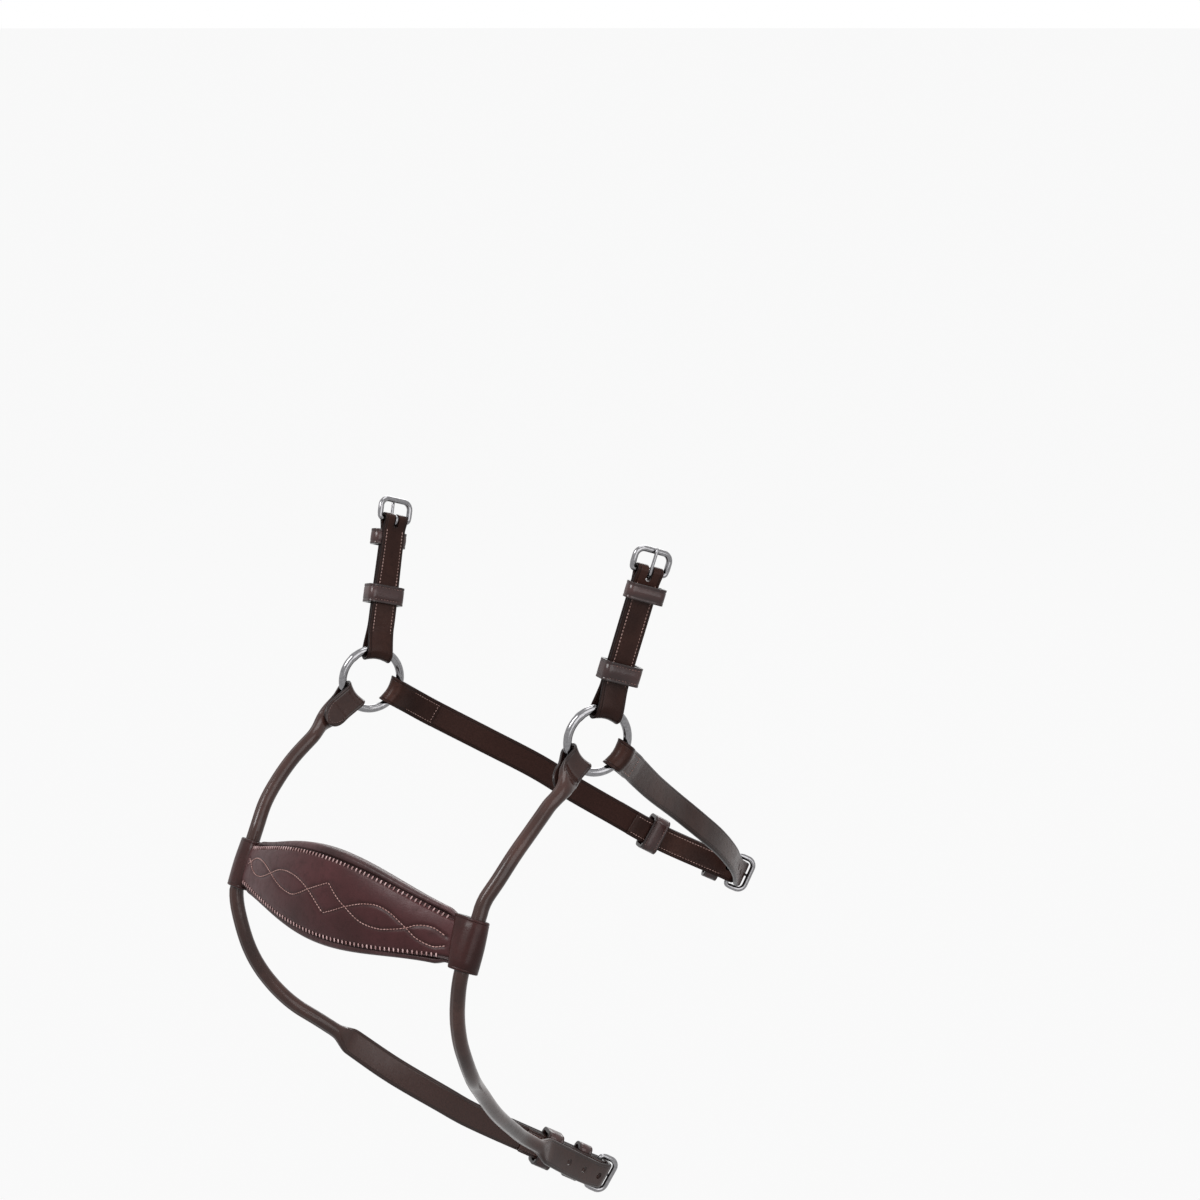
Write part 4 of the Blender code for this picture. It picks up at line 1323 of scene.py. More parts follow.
class Cutters:
    """Cuts tongue slots and buckle holes through finished straps.

    Attributes:
        beyond: How far a slot's cutter reaches past the bend.
        drill: Length of a hole's cutter.
    """

    beyond: float = 0.0030
    drill: float = 0.0060

    def __init__(self) -> None:
        """Start with nothing to cut."""
        self.waiting: list[bpy.types.Object] = []

    def slot(self, seat: Seat) -> None:
        """Add the slot through the bend round the heel bar, which frees the tongue.

        Args:
            seat: Seat of the buckle.
        """
        half = BUCKLE.tongue_wire / 2 + BUCKLE.slot_play
        reach = BUCKLE.loop_radius + LEATHER.loop / 2 + self.beyond
        bpy.ops.mesh.primitive_cube_add(size=1.0)
        cutter = bpy.context.object
        cutter.scale = (2 * half, reach + BUCKLE.slot_back, 2 * reach)
        cutter.location = (0.0, (reach - BUCKLE.slot_back) / 2, 0.0)
        start_shaping()
        pick(cutter, "EDGE", lambda middle, way: abs(way[2]) > 0.9 and middle[1] < 0)
        bpy.ops.mesh.bevel(offset=half * 0.95, segments=6)
        bpy.ops.object.mode_set(mode="OBJECT")
        cutter.data.transform(seat.matrix)
        if seat.matrix.determinant() < 0:
            cutter.data.flip_normals()
        self.waiting.append(cutter)

    def hole(self, centre: Vector, axis: Vector, diameter: float) -> None:
        """Add a round hole.

        Args:
            centre: Middle of the hole.
            axis: Its direction.
            diameter: Its diameter.
        """
        bpy.ops.mesh.primitive_cylinder_add(vertices=28, radius=diameter / 2,
                                            depth=self.drill)
        cutter = bpy.context.object
        cutter.data.transform(Matrix.Translation(centre) @ axis.to_track_quat("Z", "X")
                              .to_matrix().to_4x4())
        self.waiting.append(cutter)

    def cut(self, strap: bpy.types.Object) -> None:
        """Cut all that waits out of a strap and smooth it.

        Args:
            strap: The strap.
        """
        for index, cutter in enumerate(self.waiting):
            modifier = strap.modifiers.new(f"cut_{index}", "BOOLEAN")
            modifier.operation = "DIFFERENCE"
            modifier.solver = "EXACT"
            modifier.object = cutter
        apply_all(strap)
        for cutter in self.waiting:
            bpy.data.objects.remove(cutter)
        self.waiting.clear()
        smooth(strap)


Places = list[tuple[Vector, Vector, Vector]]


class Stitches:
    """Models one stitch and lays it in rows as one mesh for each seam."""

    inset: float = 0.0021
    pitch: float = 0.0017

    def __init__(self, shop: Workshop) -> None:
        """Model the stitch: a sphere drawn out and bowed into the leather at its ends.

        Args:
            shop: The workshop.
        """
        self.shop = shop
        bpy.ops.mesh.primitive_uv_sphere_add(segments=8, ring_count=6, radius=0.5)
        piece = start_shaping()
        bpy.ops.transform.resize(value=(1.0, 1.0, 0.9), center_override=(0.0, 0.0, 0.0))
        pick(piece, "VERT", lambda place: abs(place[0]) > 0.42)
        bpy.ops.transform.translate(value=(0.0, 0.0, -0.16))
        bpy.ops.object.mode_set(mode="OBJECT")
        model = keep_model(piece)
        self.points = np.array([vert.co for vert in model.vertices])
        self.faces = [tuple(face.vertices) for face in model.polygons]

    def lay(self, name: str, places: Places, thread: Thread, carrier: str,
            slot: Slot = Slot.STRAP) -> None:
        """Lay a stitch at each place.

        Args:
            name: Name of the seam without its ending.
            places: (middle, direction, outward) of each stitch.
            thread: The thread that is sewn with.
            carrier: Node that the seam is on.
            slot: Slot of the leather that is sewn.
        """
        scaled = self.points * np.array((thread.length, thread.thick, thread.thick))
        points, faces = [], []
        for middle, ahead, outward in places:
            ahead = ahead.normalized()
            up = square_to(outward, ahead)
            turn = np.array((ahead, up.cross(ahead), up))
            base = len(points)
            points.extend(map(tuple, scaled @ turn + np.array(middle)))
            faces.extend(tuple(base + i for i in face) for face in self.faces)
        piece = mesh_object(f"{name}_stitches", points, faces)
        for face in piece.data.polygons:
            face.use_smooth = True
        self.shop.dress(piece, thread.finish, slot, carrier, replaces=False)

    def rows(self, course: Course, start: float, end: float, way: int) -> Places:
        """Places of two rows of stitches along both edges of one face of a doubled strap.

        Args:
            course: The strap's course.
            start: Where the rows start.
            end: Where they end.
            way: Side of the course that the face is on.

        Returns:
            The places of the stitches.
        """
        places = []
        count = max(1, int((end - start) / self.pitch))
        for edge in (-1, 1):
            for i in range(count):
                along = start + (i + 0.5) * (end - start) / count
                point, ahead, across, off_side = course.frame(along)
                spot = (point + across * (edge * (LEATHER.width / 2 - self.inset))
                        + off_side * (SHOWN_FACE * way))
                places.append((spot, ahead, off_side * way))
        return places

    def both_faces(self, course: Course, start: float, end: float, way: int = 1) -> Places:
        """Places of the rows on both faces of a doubled strap, starting with one face."""
        return [place for face in (way, -way) for place in self.rows(course, start, end, face)]

    def cross_row(self, course: Course, along: float, way: int, half: float = 0.0034,
                  count: int = 5) -> Places:
        """Places of a short row across one face of a doubled strap.

        Args:
            course: The strap's course.
            along: Where the row is.
            way: Side of the course that the face is on.
            half: Half the length of the row.
            count: Number of stitches.

        Returns:
            The places of the stitches.
        """
        point, _, across, off_side = course.frame(along)
        return [(point + across * mix(-half, half, i / (count - 1))
                 + off_side * (way * SHOWN_FACE), across, off_side * way)
                for i in range(count)]


@dataclass
class Keepers:
    """Models a fixed and a running keeper, and copies them to their straps."""

    shop: Workshop
    stitches: Stitches
    wall: float = 0.0018
    play: float = 0.0004
    side_play: float = 0.0014
    corner: float = 0.0014
    fixed_width: float = 0.0080
    running_width: float = 0.0095
    fixed_at: float = 0.0100
    crease: float = 0.00145
    crease_half: float = 0.00028
    crease_depth: float = 0.00020
    crown: float = 0.00022
    seam_inset: float = 0.00155
    seam_count: int = 9

    def __post_init__(self) -> None:
        """Model both keepers once."""
        self.fixed = self.model(self.fixed_width, True)
        self.running = self.model(self.running_width, False)

    @property
    def base(self) -> float:
        """Height of the inside under the strap."""
        return -LEATHER.offset - LEATHER.layer / 2 - self.play

    @property
    def top(self) -> float:
        """Height of the inside over the billet."""
        return LEATHER.tail_offset + LEATHER.billet / 2 + self.play

    @property
    def outer(self) -> float:
        """Half the width of the outside."""
        return LEATHER.width / 2 + self.side_play + self.wall

    def model(self, width: float, tucked: bool) -> bpy.types.Mesh:
        """Band opened out of a cube, rounded, creased near its rims and given a wall.

        Args:
            width: Width of the keeper along the strap.
            tucked: Whether its two ends are sewn in between the strap's layers.

        Returns:
            The mesh, with X across, Y ahead and Z outward.
        """
        outer = self.outer
        low = -self.wall / 2 if tucked else self.base - self.wall
        high = self.top + self.wall
        bpy.ops.mesh.primitive_cube_add(size=1.0)
        piece = bpy.context.object
        piece.scale = (2 * outer, width, high - low)
        piece.location = (0.0, 0.0, (high + low) / 2)
        start_shaping()
        pick(piece, "FACE", lambda middle, normal: abs(normal[1]) > 0.9)
        bpy.ops.mesh.delete(type="FACE")
        pick(piece, "EDGE", lambda middle, way: abs(way[1]) > 0.9)
        bpy.ops.mesh.bevel(offset=self.corner + self.wall, segments=7)
        pick(piece, "EDGE", lambda middle, way: abs(way[0]) > 0.9 and abs(middle[0]) < outer / 4)
        bpy.ops.mesh.subdivide(number_cuts=6)
        if tucked:
            pick(piece, "FACE", lambda middle, normal: normal[2] < -0.9
                 and abs(middle[0]) < LEATHER.width / 2 - 0.0012)
            bpy.ops.mesh.delete(type="FACE")
        for place in (self.crease, width / 2, width - self.crease):
            for step in (-self.crease_half, 0.0, self.crease_half):
                bpy.ops.mesh.select_all(action="SELECT")
                bpy.ops.mesh.bisect(plane_co=(0.0, place + step - width / 2, 0.0),
                                    plane_no=(0.0, 1.0, 0.0))
        for place in (self.crease, width - self.crease):
            pick(piece, "VERT",
                 lambda spot, at=place - width / 2: abs(spot[1] - at) < 0.0001)
            bpy.ops.transform.shrink_fatten(value=-self.crease_depth)
        pick(piece, "VERT", lambda spot: abs(spot[1]) < 0.0012 and abs(spot[0]) < outer * 0.9)
        bpy.ops.transform.shrink_fatten(value=self.crown)
        bpy.ops.object.mode_set(mode="OBJECT")
        wall = piece.modifiers.new("wall", "SOLIDIFY")
        wall.thickness = self.wall
        wall.offset = -1.0
        edge = piece.modifiers.new("edge", "BEVEL")
        edge.width = 0.00055
        edge.segments = 3
        edge.limit_method = "ANGLE"
        edge.angle_limit = radians(50.0)
        apply_all(piece)
        smooth(piece, 50.0)
        rims = []
        for vert in piece.data.vertices:
            reach = width / 2 - abs(vert.co[1])
            pressed = 1 - abs(reach - self.crease) / 0.00035
            rims.append(max(0.0, min(1.0, max(pressed * 0.8, 1 - reach / 0.0006))))
        paint(piece.data, rims)
        return keep_model(piece)

    def fit(self, node: str, model: bpy.types.Mesh, course: Course, back: float,
            way: int) -> Matrix:
        """Put a keeper round a strap.

        Args:
            node: Node that the keeper stands for.
            model: The keeper's mesh.
            course: The strap's course.
            back: Distance behind the heel bar.
            way: Face that the billet lies on.

        Returns:
            The keeper's place, with X across, Y ahead and Z outward.
        """
        along = course.length - back
        step = LEATHER.stop_step / 2
        low, _, across, off_side = course.frame(course.stop(along - step))
        high, _, across_high, off_high = course.frame(course.stop(along + step))
        ahead = (high - low).normalized()
        across = square_to(across + across_high, ahead)
        outward = square_to(off_side + off_high, ahead) * way
        place = axes(ahead, across, outward, (low + high) / 2)
        self.shop.dress_copy(model, place, self.shop.wardrobe.keeper, Slot.STRAP, node)
        return place

    def fit_both(self, stem: str, tail: str, course: Course, running_at: float,
                 way: int = 1) -> None:
        """Fit the fixed keeper behind a buckle, and the running one with its seams.

        Args:
            stem: Start of the nodes' names.
            tail: End of the nodes' names.
            course: The strap's course.
            running_at: Distance of the running keeper behind the heel bar.
            way: Face that the billet lies on.
        """
        self.fit(f"{stem}_fixed_keeper{tail}", self.fixed, course, self.fixed_at, way)
        node = f"{stem}_slide_keeper{tail}"
        place = self.fit(node, self.running, course, running_at, way)
        across, _, outward = (column.to_3d() for column in place.col[:3])
        half = self.outer * 0.68
        spots = []
        for edge in (-1, 1):
            for i in range(self.seam_count):
                for level, face in ((self.top + self.wall, 1), (self.base - self.wall, -1)):
                    local = Vector((mix(-half, half, i / (self.seam_count - 1)),
                                    edge * (self.running_width / 2 - self.seam_inset), level))
                    spots.append((place @ local, across, outward * face))
        self.stitches.lay(node, spots, self.shop.wardrobe.keeper_thread, node)


@dataclass
class Rings:
    """The two steel rings that the straps turn round."""

    shop: Workshop
    weld_half: float = 0.0012
    weld_rise: float = 0.00012

    def build(self) -> None:
        """Turn a ring from a torus, raise its ground weld and copy it to both sides."""
        bpy.ops.mesh.primitive_torus_add(
            major_radius=RINGS.mean_radius, minor_radius=RINGS.wire / 2,
            major_segments=120, minor_segments=22, rotation=(0.0, pi / 2, -RINGS.turn))
        piece = start_shaping()
        weld = (UP * 0.8 - RINGS.back * 0.6) * RINGS.mean_radius
        along = weld.cross(RINGS.normal).normalized()
        pick(piece, "VERT", lambda spot: (spot - weld).length < RINGS.wire / 2 + self.weld_half
             and abs((spot - weld).dot(along)) < self.weld_half)
        bpy.ops.transform.shrink_fatten(value=self.weld_rise)
        bpy.ops.object.mode_set(mode="OBJECT")
        smooth(piece, 60.0)
        model = keep_model(piece)
        for side in Side:
            self.shop.dress_copy(model, Matrix.Translation(RINGS.centre(side)),
                                 self.shop.wardrobe.steel, Slot.STEEL, f"ring_{side.label}")


@dataclass
class Tools:
    """What every strap maker shares."""

    shop: Workshop
    stitches: Stitches
    keepers: Keepers
    buckles: Buckles
    cutters: Cutters = field(default_factory=Cutters)


def mirrored(direction: Sequence[float], side: Side) -> Vector:
    """Direction given for the right side, on either side."""
    return Vector((-direction[0] * side.value, direction[1], direction[2]))


def route(side: Side, table: Sequence, start: Sequence, end: Sequence) -> list[Vector]:
    """Points from a table of shares, between two (forward, drop) places.

    Args:
        side: Side of the head.
        table: (span, forward, drop) shares of each point.
        start: Place at share 0.
        end: Place at share 1.

    Returns:
        The points.
    """
    return [RINGS.below(side.value, span * RINGS.half_span,
                        mix(start[0], end[0], back), mix(start[1], end[1], drop))
            for span, back, drop in table]


@dataclass
class Hanger:
    """Doubled strap from a ring up to the buckle that the headpiece fastens in."""

    tools: Tools
    side: Side
    turn: float
    running_at: float
    end_room: float = 0.0003
    seam_foot: float = 0.0045
    seam_head: float = 0.0005
    half_span: float = 0.0929

    def course(self, anchor: Anchor, bar: Vector) -> Course:
        """Course from the ring to the heel bar.

        Args:
            anchor: Where the strap turns round the ring.
            bar: Middle of the heel bar.

        Returns:
            The course.
        """
        rise = bar - anchor.wire
        top_width = Vector((-sin(self.turn), -cos(self.turn), 0.0))
        knots = [anchor.wire, anchor.wire + anchor.ahead * (rise.length / 3), bar - rise / 4, bar]
        return Course(knots, [(0.0, anchor.tangent), (0.2, anchor.tangent), (0.8, top_width)])

    def build(self) -> None:
        """Build the strap, its seams, its buckle and its keepers."""
        tools, wardrobe = self.tools, self.tools.shop.wardrobe
        bar = LEFT * (self.side.value * self.half_span)
        anchor = Anchor(self.side, bar)
        course = self.course(anchor, bar)
        way = -self.side.value
        tail = f"_{self.side.label}"
        node = f"hanger_strap{tail}"
        meeting = course.length - self.running_at
        line = ring_end(meeting - self.end_room) + heel_end(course, meeting + self.end_room)
        strap = StrapForm(course, way, anchor).build(f"{node}_leather", facing(line, way))
        seat = Seat(course, way)
        tools.cutters.slot(seat)
        tools.cutters.cut(strap)
        tools.shop.dress(strap, wardrobe.strap, Slot.STRAP, node)
        places = tools.stitches.both_faces(
            course, LEATHER.loop_taper - self.seam_foot,
            course.length - LEATHER.heel_taper - self.seam_head, way)
        tools.stitches.lay(node, places, wardrobe.hanger_thread, node)
        tools.buckles.fit("hanger", tail, seat)
        tools.keepers.fit_both("hanger", tail, course, self.running_at, way)


@dataclass(frozen=True)
class BilletSizes:
    """Sizes of a billet: the strap end with the holes."""

    hole: float = 0.0036
    tongue_hole: float = 0.0042
    pitch: float = 0.0140
    count: int = 3
    first: float = 0.0040
    tip_length: float = 0.0080


class Billet:
    """Billet that comes up through a buckle and lies back on its strap."""

    sizes: BilletSizes = BilletSizes()

    def __init__(self, seat: Seat) -> None:
        """Take the seat of the buckle that the billet goes through."""
        self.seat = seat
        self.turn = 0.0

    def arrive(self, source: Vector) -> list[Vector]:
        """Knots by which the billet comes up to the bend through the buckle.

        Args:
            source: The knot before them.

        Returns:
            The last two knots of the billet's course.
        """
        seat = self.seat
        offset = source - seat.bar
        reach = Vector((offset.dot(seat.ahead) - BUCKLE.fold_reach, offset.dot(seat.outward)))
        self.turn = atan2(reach[1], reach[0]) + acos(BUCKLE.fold_radius / reach.length)
        end = Vector((cos(self.turn), sin(self.turn))) * BUCKLE.fold_radius
        lead = end - Vector((-sin(self.turn), cos(self.turn))) * BUCKLE.billet_lead
        return [seat.spot(BUCKLE.fold_reach + spot[0], spot[1]) for spot in (lead, end)]

    def fold(self, course: Course, tail: float) -> list[Station]:
        """Stations of the bend and of the tail that lies on the buckle's strap.

        Args:
            course: Course of the strap that carries the buckle.
            tail: Length of the tail's straight sides behind the heel bar.

        Returns:
            The stations up to the rounded tip.
        """
        centre = course.length + BUCKLE.fold_reach
        line = []
        for i in range(15):
            angle = mix(self.turn, pi / 2, i / 14)
            line.append(Station(centre + BUCKLE.fold_radius * cos(angle),
                                BUCKLE.fold_radius * sin(angle), LEATHER.billet))
        rise = LEATHER.tail_offset
        line.append(Station(course.length - LEATHER.heel_taper / 2,
                            mix(rise, BUCKLE.fold_radius, 0.55), LEATHER.billet))
        body_end = course.stop(course.length - tail)
        line += run(course.length - LEATHER.heel_taper, body_end, rise, LEATHER.billet)
        for i in range(1, 9):
            share = i / 8
            width = LEATHER.width * max(sqrt(max(1 - share ** 2.2, 0.0)), 0.16)
            line.append(Station(body_end - self.sizes.tip_length * share, rise,
                                mix(LEATHER.billet, LEATHER.billet * 0.75, share), width))
        return line

    def punch(self, cutters: Cutters, course: Course) -> None:
        """Add the billet's holes, before the buckle and at the tongue, to what is cut.

        Args:
            cutters: Takes the holes.
            course: Course of the billet.
        """
        for index in range(self.sizes.count):
            along = course.length - self.sizes.first - self.sizes.pitch * index
            point, _, _, off_side = course.frame(along)
            cutters.hole(point, off_side, self.sizes.hole)
        reach = BUCKLE.fold_reach + sqrt(BUCKLE.fold_radius ** 2 - BUCKLE.rest ** 2)
        cutters.hole(self.seat.spot(reach, BUCKLE.rest), self.seat.ahead,
                     self.sizes.tongue_hole)


class BuckledStraps:
    """Two straps from the rings: the right one carries a buckle, the left is its billet.

    Attributes:
        tools: What every strap maker shares.
        stem: Start of the names of the buckle's and the keepers' nodes.
        strap: Start of the names of the straps' nodes.
        finish: Leather of the straps.
        thread: Thread of their seams.
        lead: The straight start takes the way to the first knot divided by this.
        reach: How far behind the ring line the heel bar is.
        drop: How far below it the bar is.
        bar_side: How far to the left the bar is.
        turnback: Length that turns back from the buckle.
        tail: Length of the billet's tail.
        running_at: Distance of the running keeper behind the heel bar.
        width_direction: Width direction of the right strap near the buckle.
        room: Distance that a seam or a fold keeps from an end.
    """

    tools: Tools
    stem: str
    strap: str
    lead: float
    reach: float
    drop: float
    bar_side: float
    turnback: float
    tail: float
    running_at: float
    width_direction: tuple
    room: float = 0.0010

    def course(self, side: Side, billet: Optional[Billet]) -> tuple[Course, Anchor]:
        """Course of the strap on one side, and its place on the ring.

        Args:
            side: The side.
            billet: The billet, for the strap that has it.

        Returns:
            The course and the place.
        """
        knots = self.knots(side)
        anchor = Anchor(side, knots[0])
        straight = (knots[0] - anchor.wire).length / self.lead
        first = [anchor.wire, anchor.wire + anchor.ahead * straight]
        widths = self.widths(anchor.tangent, mirrored(self.width_direction, side))
        if billet:
            last = billet.arrive(knots[-1])
            widths.append((1.0, billet.seat.across))
        else:
            last = [RINGS.below(1, self.bar_side, -self.reach, self.drop)]
        return Course(first + knots + last, widths), anchor

    def build(self) -> None:
        """Build both straps, their seams, the buckle and the keepers."""
        tools = self.tools
        host: Optional[Course] = None
        billet: Optional[Billet] = None
        for side in (Side.RIGHT, Side.LEFT):
            course, anchor = self.course(side, billet)
            form = StrapForm(course, -side.value, anchor)
            node = f"{self.strap}_{side.label}"
            if billet:
                line, places = self.upper(course, side, course.length - self.room, 0.0)
                strap = form.build(f"{node}_leather", line, host, billet.fold(host, self.tail))
                billet.punch(tools.cutters, course)
            else:
                tip = course.stop(course.length - self.turnback)
                line, places = self.upper(course, side, tip, LEATHER.single_offset)
                strap = form.build(f"{node}_leather", line[:-1] + heel_end(course, tip))
                places += tools.stitches.both_faces(
                    course, tip + self.room, course.length - LEATHER.heel_taper - self.room)
                seat = Seat(course, 1)
                tools.cutters.slot(seat)
                host, billet = course, Billet(seat)
            tools.cutters.cut(strap)
            tools.shop.dress(strap, self.finish, Slot.STRAP, node)
            tools.stitches.lay(node, places, self.thread, node)
        tools.buckles.fit(self.stem, "", billet.seat)
        tools.keepers.fit_both(self.stem, "", host, self.running_at)


@dataclass(frozen=True)
class CuffPlaces:
    """Where the rolled straps pass through the nosepiece's cuffs."""

    half_span: float = 0.0850
    forward: float = 0.0847
    drop: float = 0.0817
    lean: float = radians(24.8)
    roll: float = 0.0073

    @property
    def axis(self) -> Vector:
        """Upward direction of the rolled straps in the cuffs."""
        return Vector((0.0, sin(self.lean), cos(self.lean)))

    def centre(self, side: Side) -> Vector:
        """Middle of the cuff on one side."""
        return RINGS.below(side.value, self.half_span, self.forward, self.drop)


CUFFS = CuffPlaces()


@dataclass
class RolledStraps(BuckledStraps):
    """Two rolled cheek straps that open out into the chin strap and its billet."""

    tools: Tools
    stem: str = "chin"
    strap: str = "rolled_strap"
    lead: float = 2.0
    roll: float = CUFFS.roll
    tab_length: float = 0.0170
    tab_tip: float = 0.0190
    tab_shoulder: float = 0.0100
    tab_seam_inset: float = 0.0017
    bulge: float = 0.0014
    settle: float = 0.0140
    opening: float = 0.0120
    ends: dict = field(default_factory=lambda: {Side.RIGHT: 0.1700, Side.LEFT: 0.0620})
    turnback: float = 0.0460
    tail: float = 0.0520
    reach: float = 0.0695
    drop: float = 0.2685
    bar_side: float = 0.0110
    running_at: float = 0.0300
    cuff_run: float = 0.0165
    width_direction: tuple = (0.26, 0.52, 0.81)
    upper_shares: tuple = ((1.037, 0.374, 0.255), (1.058, 0.574, 0.409),
                           (1.055, 0.700, 0.523), (1.044, 0.813, 0.650))
    lower_shares: tuple = ((0.972, -0.035, 0.174), (0.935, -0.008, 0.259),
                           (0.887, 0.040, 0.336), (0.815, 0.099, 0.402),
                           (0.720, 0.161, 0.450))
    arm_shares: tuple = ((0.632, 0.228, 0.502), (0.474, 0.369, 0.617),
                         (0.321, 0.526, 0.727), (0.254, 0.611, 0.784))
    cuff_shares: tuple = (1.25, 0.90, 0.30, -0.30, -0.88)

    def __post_init__(self) -> None:
        """Choose the leather and the thread."""
        wardrobe = self.tools.shop.wardrobe
        self.finish, self.thread = wardrobe.roll, wardrobe.roll_thread

    def knots(self, side: Side) -> list[Vector]:
        """Route of a rolled strap down through its cuff and along the chin arm.

        Args:
            side: Side of the strap.

        Returns:
            The knots.
        """
        cuff = (CUFFS.forward, CUFFS.drop)
        knots = route(side, self.upper_shares, (0.0, 0.0), cuff)
        knots += [CUFFS.centre(side) + CUFFS.axis * (self.cuff_run * share)
                  for share in self.cuff_shares]
        return knots + route(side, self.lower_shares + self.arm_shares, cuff,
                             (-self.reach, self.drop))

    def widths(self, upper: Vector, low: Vector) -> list[tuple[float, Vector]]:
        """Width directions from the ring down to the buckle."""
        return [(0.0, upper), (0.08, upper), (0.45, BACK), (0.85, low)]

    def head(self, way: int) -> tuple[list[Station], float]:
        """Stations from the leaf shaped tab, round the ring and into the round roll.

        Args:
            way: Face of the strap that the tab lies on.

        Returns:
            The stations, and where the roll has settled.
        """
        off = LEATHER.offset
        line = []
        for i in range(9):
            share = i / 8
            width = LEATHER.width * max(sqrt(max(1 - (1 - share) ** 2.2, 0.0)), 0.20)
            line.append(Station(mix(self.tab_tip, self.tab_shoulder, share),
                                off + 0.0002 * (1 - share),
                                mix(LEATHER.layer * 0.75, LEATHER.layer, share), width))
        line += run(self.tab_shoulder, LEATHER.loop_taper * 0.8, off, LEATHER.layer)[1:]
        line += [Station(along, -off_side, LEATHER.loop)
                 for along, off_side in bend(LOOP_RADIUS)]
        line.append(Station(LEATHER.loop_taper * 0.6, -off * 1.6, LEATHER.loop))
        settled = self.tab_length + self.settle
        for i in range(14):
            share = mix(0.35, 1.0, i / 13)
            along = settled * share
            swell = ease((share - 0.2) / 0.6)
            bulge = self.bulge * sin(pi * swell ** 0.8)
            width = mix(LEATHER.width, self.roll, swell) + bulge / 2
            thickness = mix(LEATHER.layer, self.roll, swell) + bulge
            rise = ease((along - self.tab_length) / self.settle)
            line.append(Station(along, mix(-(LEATHER.gap + thickness) / 2, 0.0, rise),
                                thickness, width, min(1.0, swell * 1.5)))
        return facing(line, way), settled

    def tab_seam(self, course: Course, way: int) -> Places:
        """Stitches round the leaf shaped tab.

        Args:
            course: The strap's course.
            way: Face that the tab lies on.

        Returns:
            The places of the stitches.
        """
        inset = self.tab_seam_inset
        edge = []
        for i in range(41):
            along = mix(LEATHER.loop_taper * 0.5, self.tab_tip - inset, i / 40)
            beyond = max(0.0, (along + inset * 0.6 - self.tab_shoulder)
                         / (self.tab_tip - self.tab_shoulder))
            half = LEATHER.width / 2 * sqrt(max(1 - beyond ** 2.2, 0.0)) - inset
            edge.append(Vector((along, max(half, 0.0))))
        outline = smooth_points(edge + [Vector((p[0], -p[1])) for p in reversed(edge[:-1])],
                                Stitches.pitch)
        places = []
        lift = LEATHER.offset + LEATHER.layer / 2
        for before, after in zip(outline, outline[1:]):
            along, side = (before + after) / 2
            point, ahead, across, off_side = course.frame(along)
            heading = ahead * (after - before)[0] + across * (after - before)[1]
            places.append((point + across * side + off_side * (way * lift), heading,
                           off_side * way))
        return places

    def upper(self, course: Course, side: Side, end: float,
              off: float) -> tuple[list[Station], Places]:
        """Strap from its tab down the roll to where it is flat again, and the tab's seam.

        Args:
            course: The strap's course.
            side: Its side.
            end: Where the flat run ends.
            off: Where the flat run lies beside the course.

        Returns:
            The stations and the places of the stitches.
        """
        line, settled = self.head(side.value)
        start = course.length - self.ends[side]
        line += [Station(s.along, 0.0, self.roll, self.roll, 1.0)
                 for s in run(settled, start, 0.0, self.roll, step=0.0035)[1:-1]]
        for i in range(11):
            share = ease(i / 10)
            line.append(Station(start + self.opening * i / 10, mix(0.0, off, share),
                                mix(self.roll, LEATHER.billet, share),
                                mix(self.roll, LEATHER.width, share), 1 - share))
        opened = start + self.opening + LEATHER.stop_step / 3
        return line + run(opened, end, off, LEATHER.billet), self.tab_seam(course, side.value)


@dataclass
class JawStrap(BuckledStraps):
    """Jaw strap: the right half carries the buckle and the left half is the billet."""

    tools: Tools
    stem: str = "jaw"
    strap: str = "jaw_strap"
    lead: float = 3.0
    ring_turnback: float = 0.0240
    landing: float = 0.0090
    cross_row: float = 0.0021
    turnback: float = 0.0700
    tail: float = 0.0760
    reach: float = 0.1929
    drop: float = 0.1308
    bar_side: float = -0.0022
    running_at: float = 0.0500
    width_direction: tuple = (0.20, 0.47, 0.84)
    arm_shares: tuple = ((0.901, 0.171, 0.170), (0.746, 0.316, 0.313), (0.625, 0.467, 0.459),
                         (0.570, 0.586, 0.585), (0.489, 0.700, 0.703), (0.340, 0.829, 0.841))

    def __post_init__(self) -> None:
        """Choose the leather and the thread."""
        wardrobe = self.tools.shop.wardrobe
        self.finish, self.thread = wardrobe.strap, wardrobe.strap_thread

    def knots(self, side: Side) -> list[Vector]:
        """Route of a half from its ring to the buckle."""
        return route(side, self.arm_shares, (0.0, 0.0), (-self.reach, self.drop))

    def widths(self, upper: Vector, low: Vector) -> list[tuple[float, Vector]]:
        """Width directions from the ring down to the buckle."""
        return [(0.0, upper), (0.05, upper), (0.45, low), (0.85, low)]

    def upper(self, course: Course, side: Side, end: float,
              off: float) -> tuple[list[Station], Places]:
        """Strap from the end turned back at its ring to the single run, and its seams.

        Args:
            course: The strap's course.
            side: Its side.
            end: Where the single run ends.
            off: Where the single run lies beside the course.

        Returns:
            The stations and the places of the stitches.
        """
        way = -side.value
        tip = course.stop(self.ring_turnback)
        places = []
        for face in (way, -way):
            places += self.tools.stitches.rows(course, LEATHER.loop_taper - 2 * self.room,
                                               tip - self.room, face)
            places += self.tools.stitches.cross_row(course, tip - self.cross_row, face)
        start = tip if side is Side.RIGHT else tip + self.landing
        single = run(start, end, off, LEATHER.billet)
        return facing(ring_end(tip), way) + (single[1:] if start == tip else single), places


